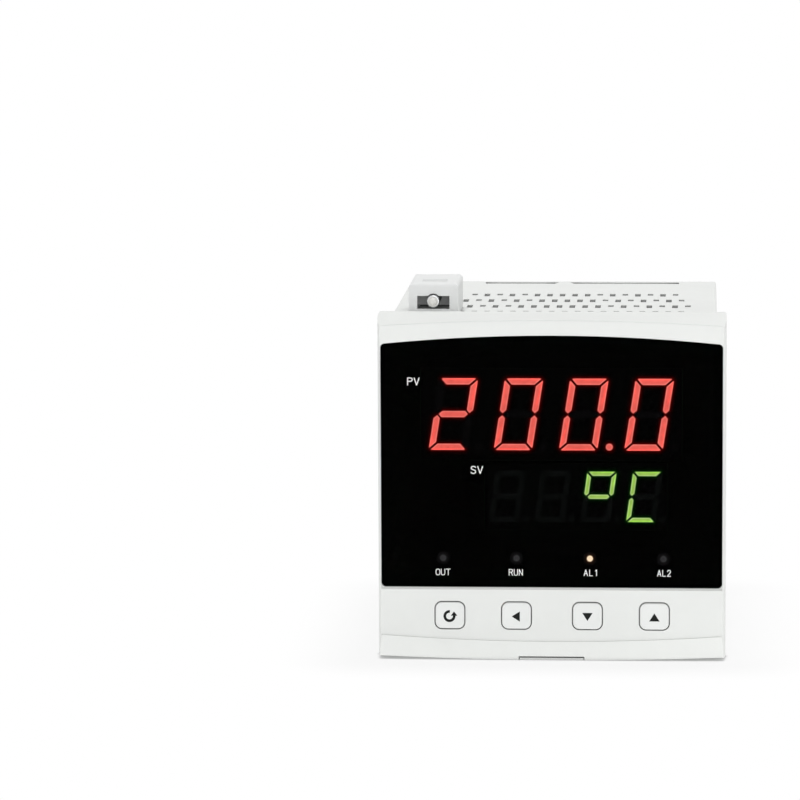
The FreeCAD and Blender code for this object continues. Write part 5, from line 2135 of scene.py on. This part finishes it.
@dataclass
class Studio:
    """The pale floor, the soft lamps and the camera."""

    floor_size: float = 6.0
    azimuth: float = 3.745
    elevation: float = 7.672
    roll: float = -0.292
    distance: float = 1282.209
    focal: float = 208.204
    target: Point = (-42.228, 0.0, 23.205)
    world_level: float = 0.5
    bounce: float = 0.52
    top_power: float = 5.5
    front_power: float = 3.7
    near: float = 0.001
    far: float = 0.03
    near_glow: float = 0.8
    contact_shadow_reach: float = 0.0014
    contact_shadow_from: float = 0.5
    contact_shadow_to: float = 0.92
    paper: Colour = (0.9, 0.9, 0.9)
    top_place: Point = (0.1, 0.32, 1.0)
    top_aim: Point = (0.0, 0.03, 0.0)
    top_size: float = 0.9
    front_place: Point = (0.12, -1.2, 0.14)
    front_aim: Point = (0.0, 0.0, 0.0)
    front_size: float = 0.6
    sensor: float = 36.0
    clip_near: float = 0.01
    clip_far: float = 50.0

    def rays(self, bench: Bench) -> bpy.types.NodeSocket:
        """One where a ray comes from the camera, a mirror or a clear part."""
        path = bench.add("ShaderNodeLightPath").outputs
        seen = bench.calc("MAXIMUM", path["Is Camera Ray"], path["Is Glossy Ray"])
        return bench.calc("MAXIMUM", seen, path["Is Transmission Ray"])

    def fade(self, bench: Bench) -> bpy.types.NodeSocket:
        """How white the paper looks: a little darker under the object, full white away from it."""
        low, high = CAD_BOX
        value = bench.add("ShaderNodeTexCoord").outputs["Object"]
        for operation, other in (
            ("SUBTRACT", (low + high) / 2.0),
            ("ABSOLUTE", (0.0, 0.0, 0.0)),
            ("SUBTRACT", (high - low) / 2.0),
            ("MAXIMUM", (0.0, 0.0, 0.0)),
            ("MULTIPLY", (1.0, 1.0, 0.0)),
        ):
            value = bench.vector(operation, value, other)
        away = bench.add("ShaderNodeVectorMath", {0: value}, operation="LENGTH").outputs["Value"]
        return bench.remap(away, self.near, self.far, self.near_glow, 1.0, kind="SMOOTHSTEP")

    def painted_contact_shadow(self, bench: Bench) -> bpy.types.NodeSocket:
        """A painted contact shadow: zero where the object stands on the paper, and one in the open.
        """
        under = bench.add(
            "ShaderNodeAmbientOcclusion", {"Distance": self.contact_shadow_reach}, samples=16
        ).outputs["AO"]
        return bench.remap(under, self.contact_shadow_from, self.contact_shadow_to, 0.0, 1.0)

    def make_floor(self) -> bpy.types.Object:
        """Lay a pale floor that keeps the shadow, with a painted contact shadow where the object
        stands.
        """
        half = self.floor_size / 2.0
        base = CAD_BOX[0].z - 0.01 * MM
        mesh = bpy.data.meshes.new("floor")
        corners = [
            (-half, -half, base), (half, -half, base), (half, half, base), (-half, half, base)
        ]
        mesh.from_pydata(corners, [], [(0, 1, 2, 3)])
        floor = placed("floor", mesh)
        material, bench = blank_material("floor_paper")
        matt = bench.add("ShaderNodeBsdfDiffuse", {"Color": (*self.paper, 1.0)})
        glow = bench.add("ShaderNodeEmission", {"Color": (1.0, 1.0, 1.0, 1.0), "Strength": 1.0})
        fade, line = self.fade(bench), self.painted_contact_shadow(bench)
        # Painted contact shadow: the white glow gives way to the plain lit paper where the object
        # closes it in.
        share = bench.calc("MULTIPLY", bench.calc("MULTIPLY", self.rays(bench), fade), line)
        mixed = bench.add("ShaderNodeMixShader", {0: share, 1: matt.outputs[0], 2: glow.outputs[0]})
        soft = bench.add("ShaderNodeLightPath").outputs["Is Diffuse Ray"]
        lift = bench.add(
            "ShaderNodeEmission", {"Strength": bench.calc("MULTIPLY", soft, self.bounce)}
        )
        whole = bench.add("ShaderNodeAddShader", {0: mixed.outputs[0], 1: lift.outputs[0]})
        bench.add("ShaderNodeOutputMaterial", {"Surface": whole.outputs[0]})
        mesh.materials.append(material)
        return floor

    def make_world(self) -> None:
        """A white surround for the camera and mirrors, and a plain soft light for the rest."""
        world = bpy.data.worlds.new("studio")
        bpy.context.scene.world = world
        world.use_nodes = True
        world.node_tree.nodes.clear()
        bench = Bench(world.node_tree)
        level = bench.remap(self.rays(bench), 0.0, 1.0, self.world_level, 1.0)
        back = bench.add("ShaderNodeBackground", {"Color": (1.0, 1.0, 1.0, 1.0), "Strength": level})
        bench.add("ShaderNodeOutputWorld", {"Surface": back.outputs[0]})

    def lamp(self, name: str, place: Point, aim: Point, size: float, power: float) -> None:
        """Hang one soft lamp.

        Args:
            name: Its name.
            place: Where it hangs, in metres.
            aim: What it faces, in metres.
            size: The length of its side, in metres.
            power: Its power, in watts.
        """
        light = bpy.data.lights.new(name, "AREA")
        light.shape = "SQUARE"
        light.size = size
        light.energy = power
        holder = placed(name, light)
        holder.location = place
        holder.rotation_euler = (Vector(aim) - Vector(place)).to_track_quat("-Z", "Y").to_euler()

    def make_lamps(self) -> None:
        """Hang a lamp overhead and a softer one in front."""
        self.lamp("lamp_top", self.top_place, self.top_aim, self.top_size, self.top_power)
        self.lamp("lamp_front", self.front_place, self.front_aim, self.front_size, self.front_power)

    def make_camera(self) -> None:
        """Set up the camera."""
        turn, tilt, lean = (math.radians(a) for a in (self.azimuth, self.elevation, self.roll))
        back = Vector(
            (math.sin(turn) * math.cos(tilt), -math.cos(turn) * math.cos(tilt), math.sin(tilt))
        )
        side = (-back).cross(Vector((0.0, 0.0, 1.0))).normalized()
        rise = side.cross(-back)
        right = math.cos(lean) * side + math.sin(lean) * rise
        upper = -math.sin(lean) * side + math.cos(lean) * rise
        lens = bpy.data.cameras.new("camera")
        lens.lens = self.focal
        lens.sensor_width = self.sensor
        lens.clip_start = self.clip_near
        lens.clip_end = self.clip_far
        camera = placed("camera", lens)
        turned = Matrix((right, upper, back)).transposed().to_4x4()
        place = Vector(self.target) * MM + back * self.distance * MM
        camera.matrix_world = Matrix.Translation(place) @ turned
        bpy.context.scene.camera = camera

    def build(self) -> None:
        """Make the floor, the world, the lamps and the camera."""
        self.make_floor()
        self.make_world()
        self.make_lamps()
        self.make_camera()
        bpy.context.scene.view_settings.view_transform = "Standard"


def main() -> None:
    """Dress every sub-assembly, then set the scene."""
    logging.basicConfig(level=logging.INFO, format="%(name)s: %(message)s")
    FrontMoulding().dress()
    window = Window()
    window.dress()
    window.print_labels()
    read_outs = ReadOuts()
    read_outs.dress()
    read_outs.light()
    lamps = IndicatorRow()
    lamps.dress()
    lamps.light()
    keys = KeyRow()
    keys.dress()
    keys.print_icons()
    boards = BoardStack()
    boards.dress()
    boards.stand_small_parts()
    boards.stand_legs()
    HousingSet().dress()
    clip = ClipSet()
    clip.dress()
    clip.cut_screw()
    clip.turn_foot()
    Studio().build()


if __name__ == "__main__":
    main()
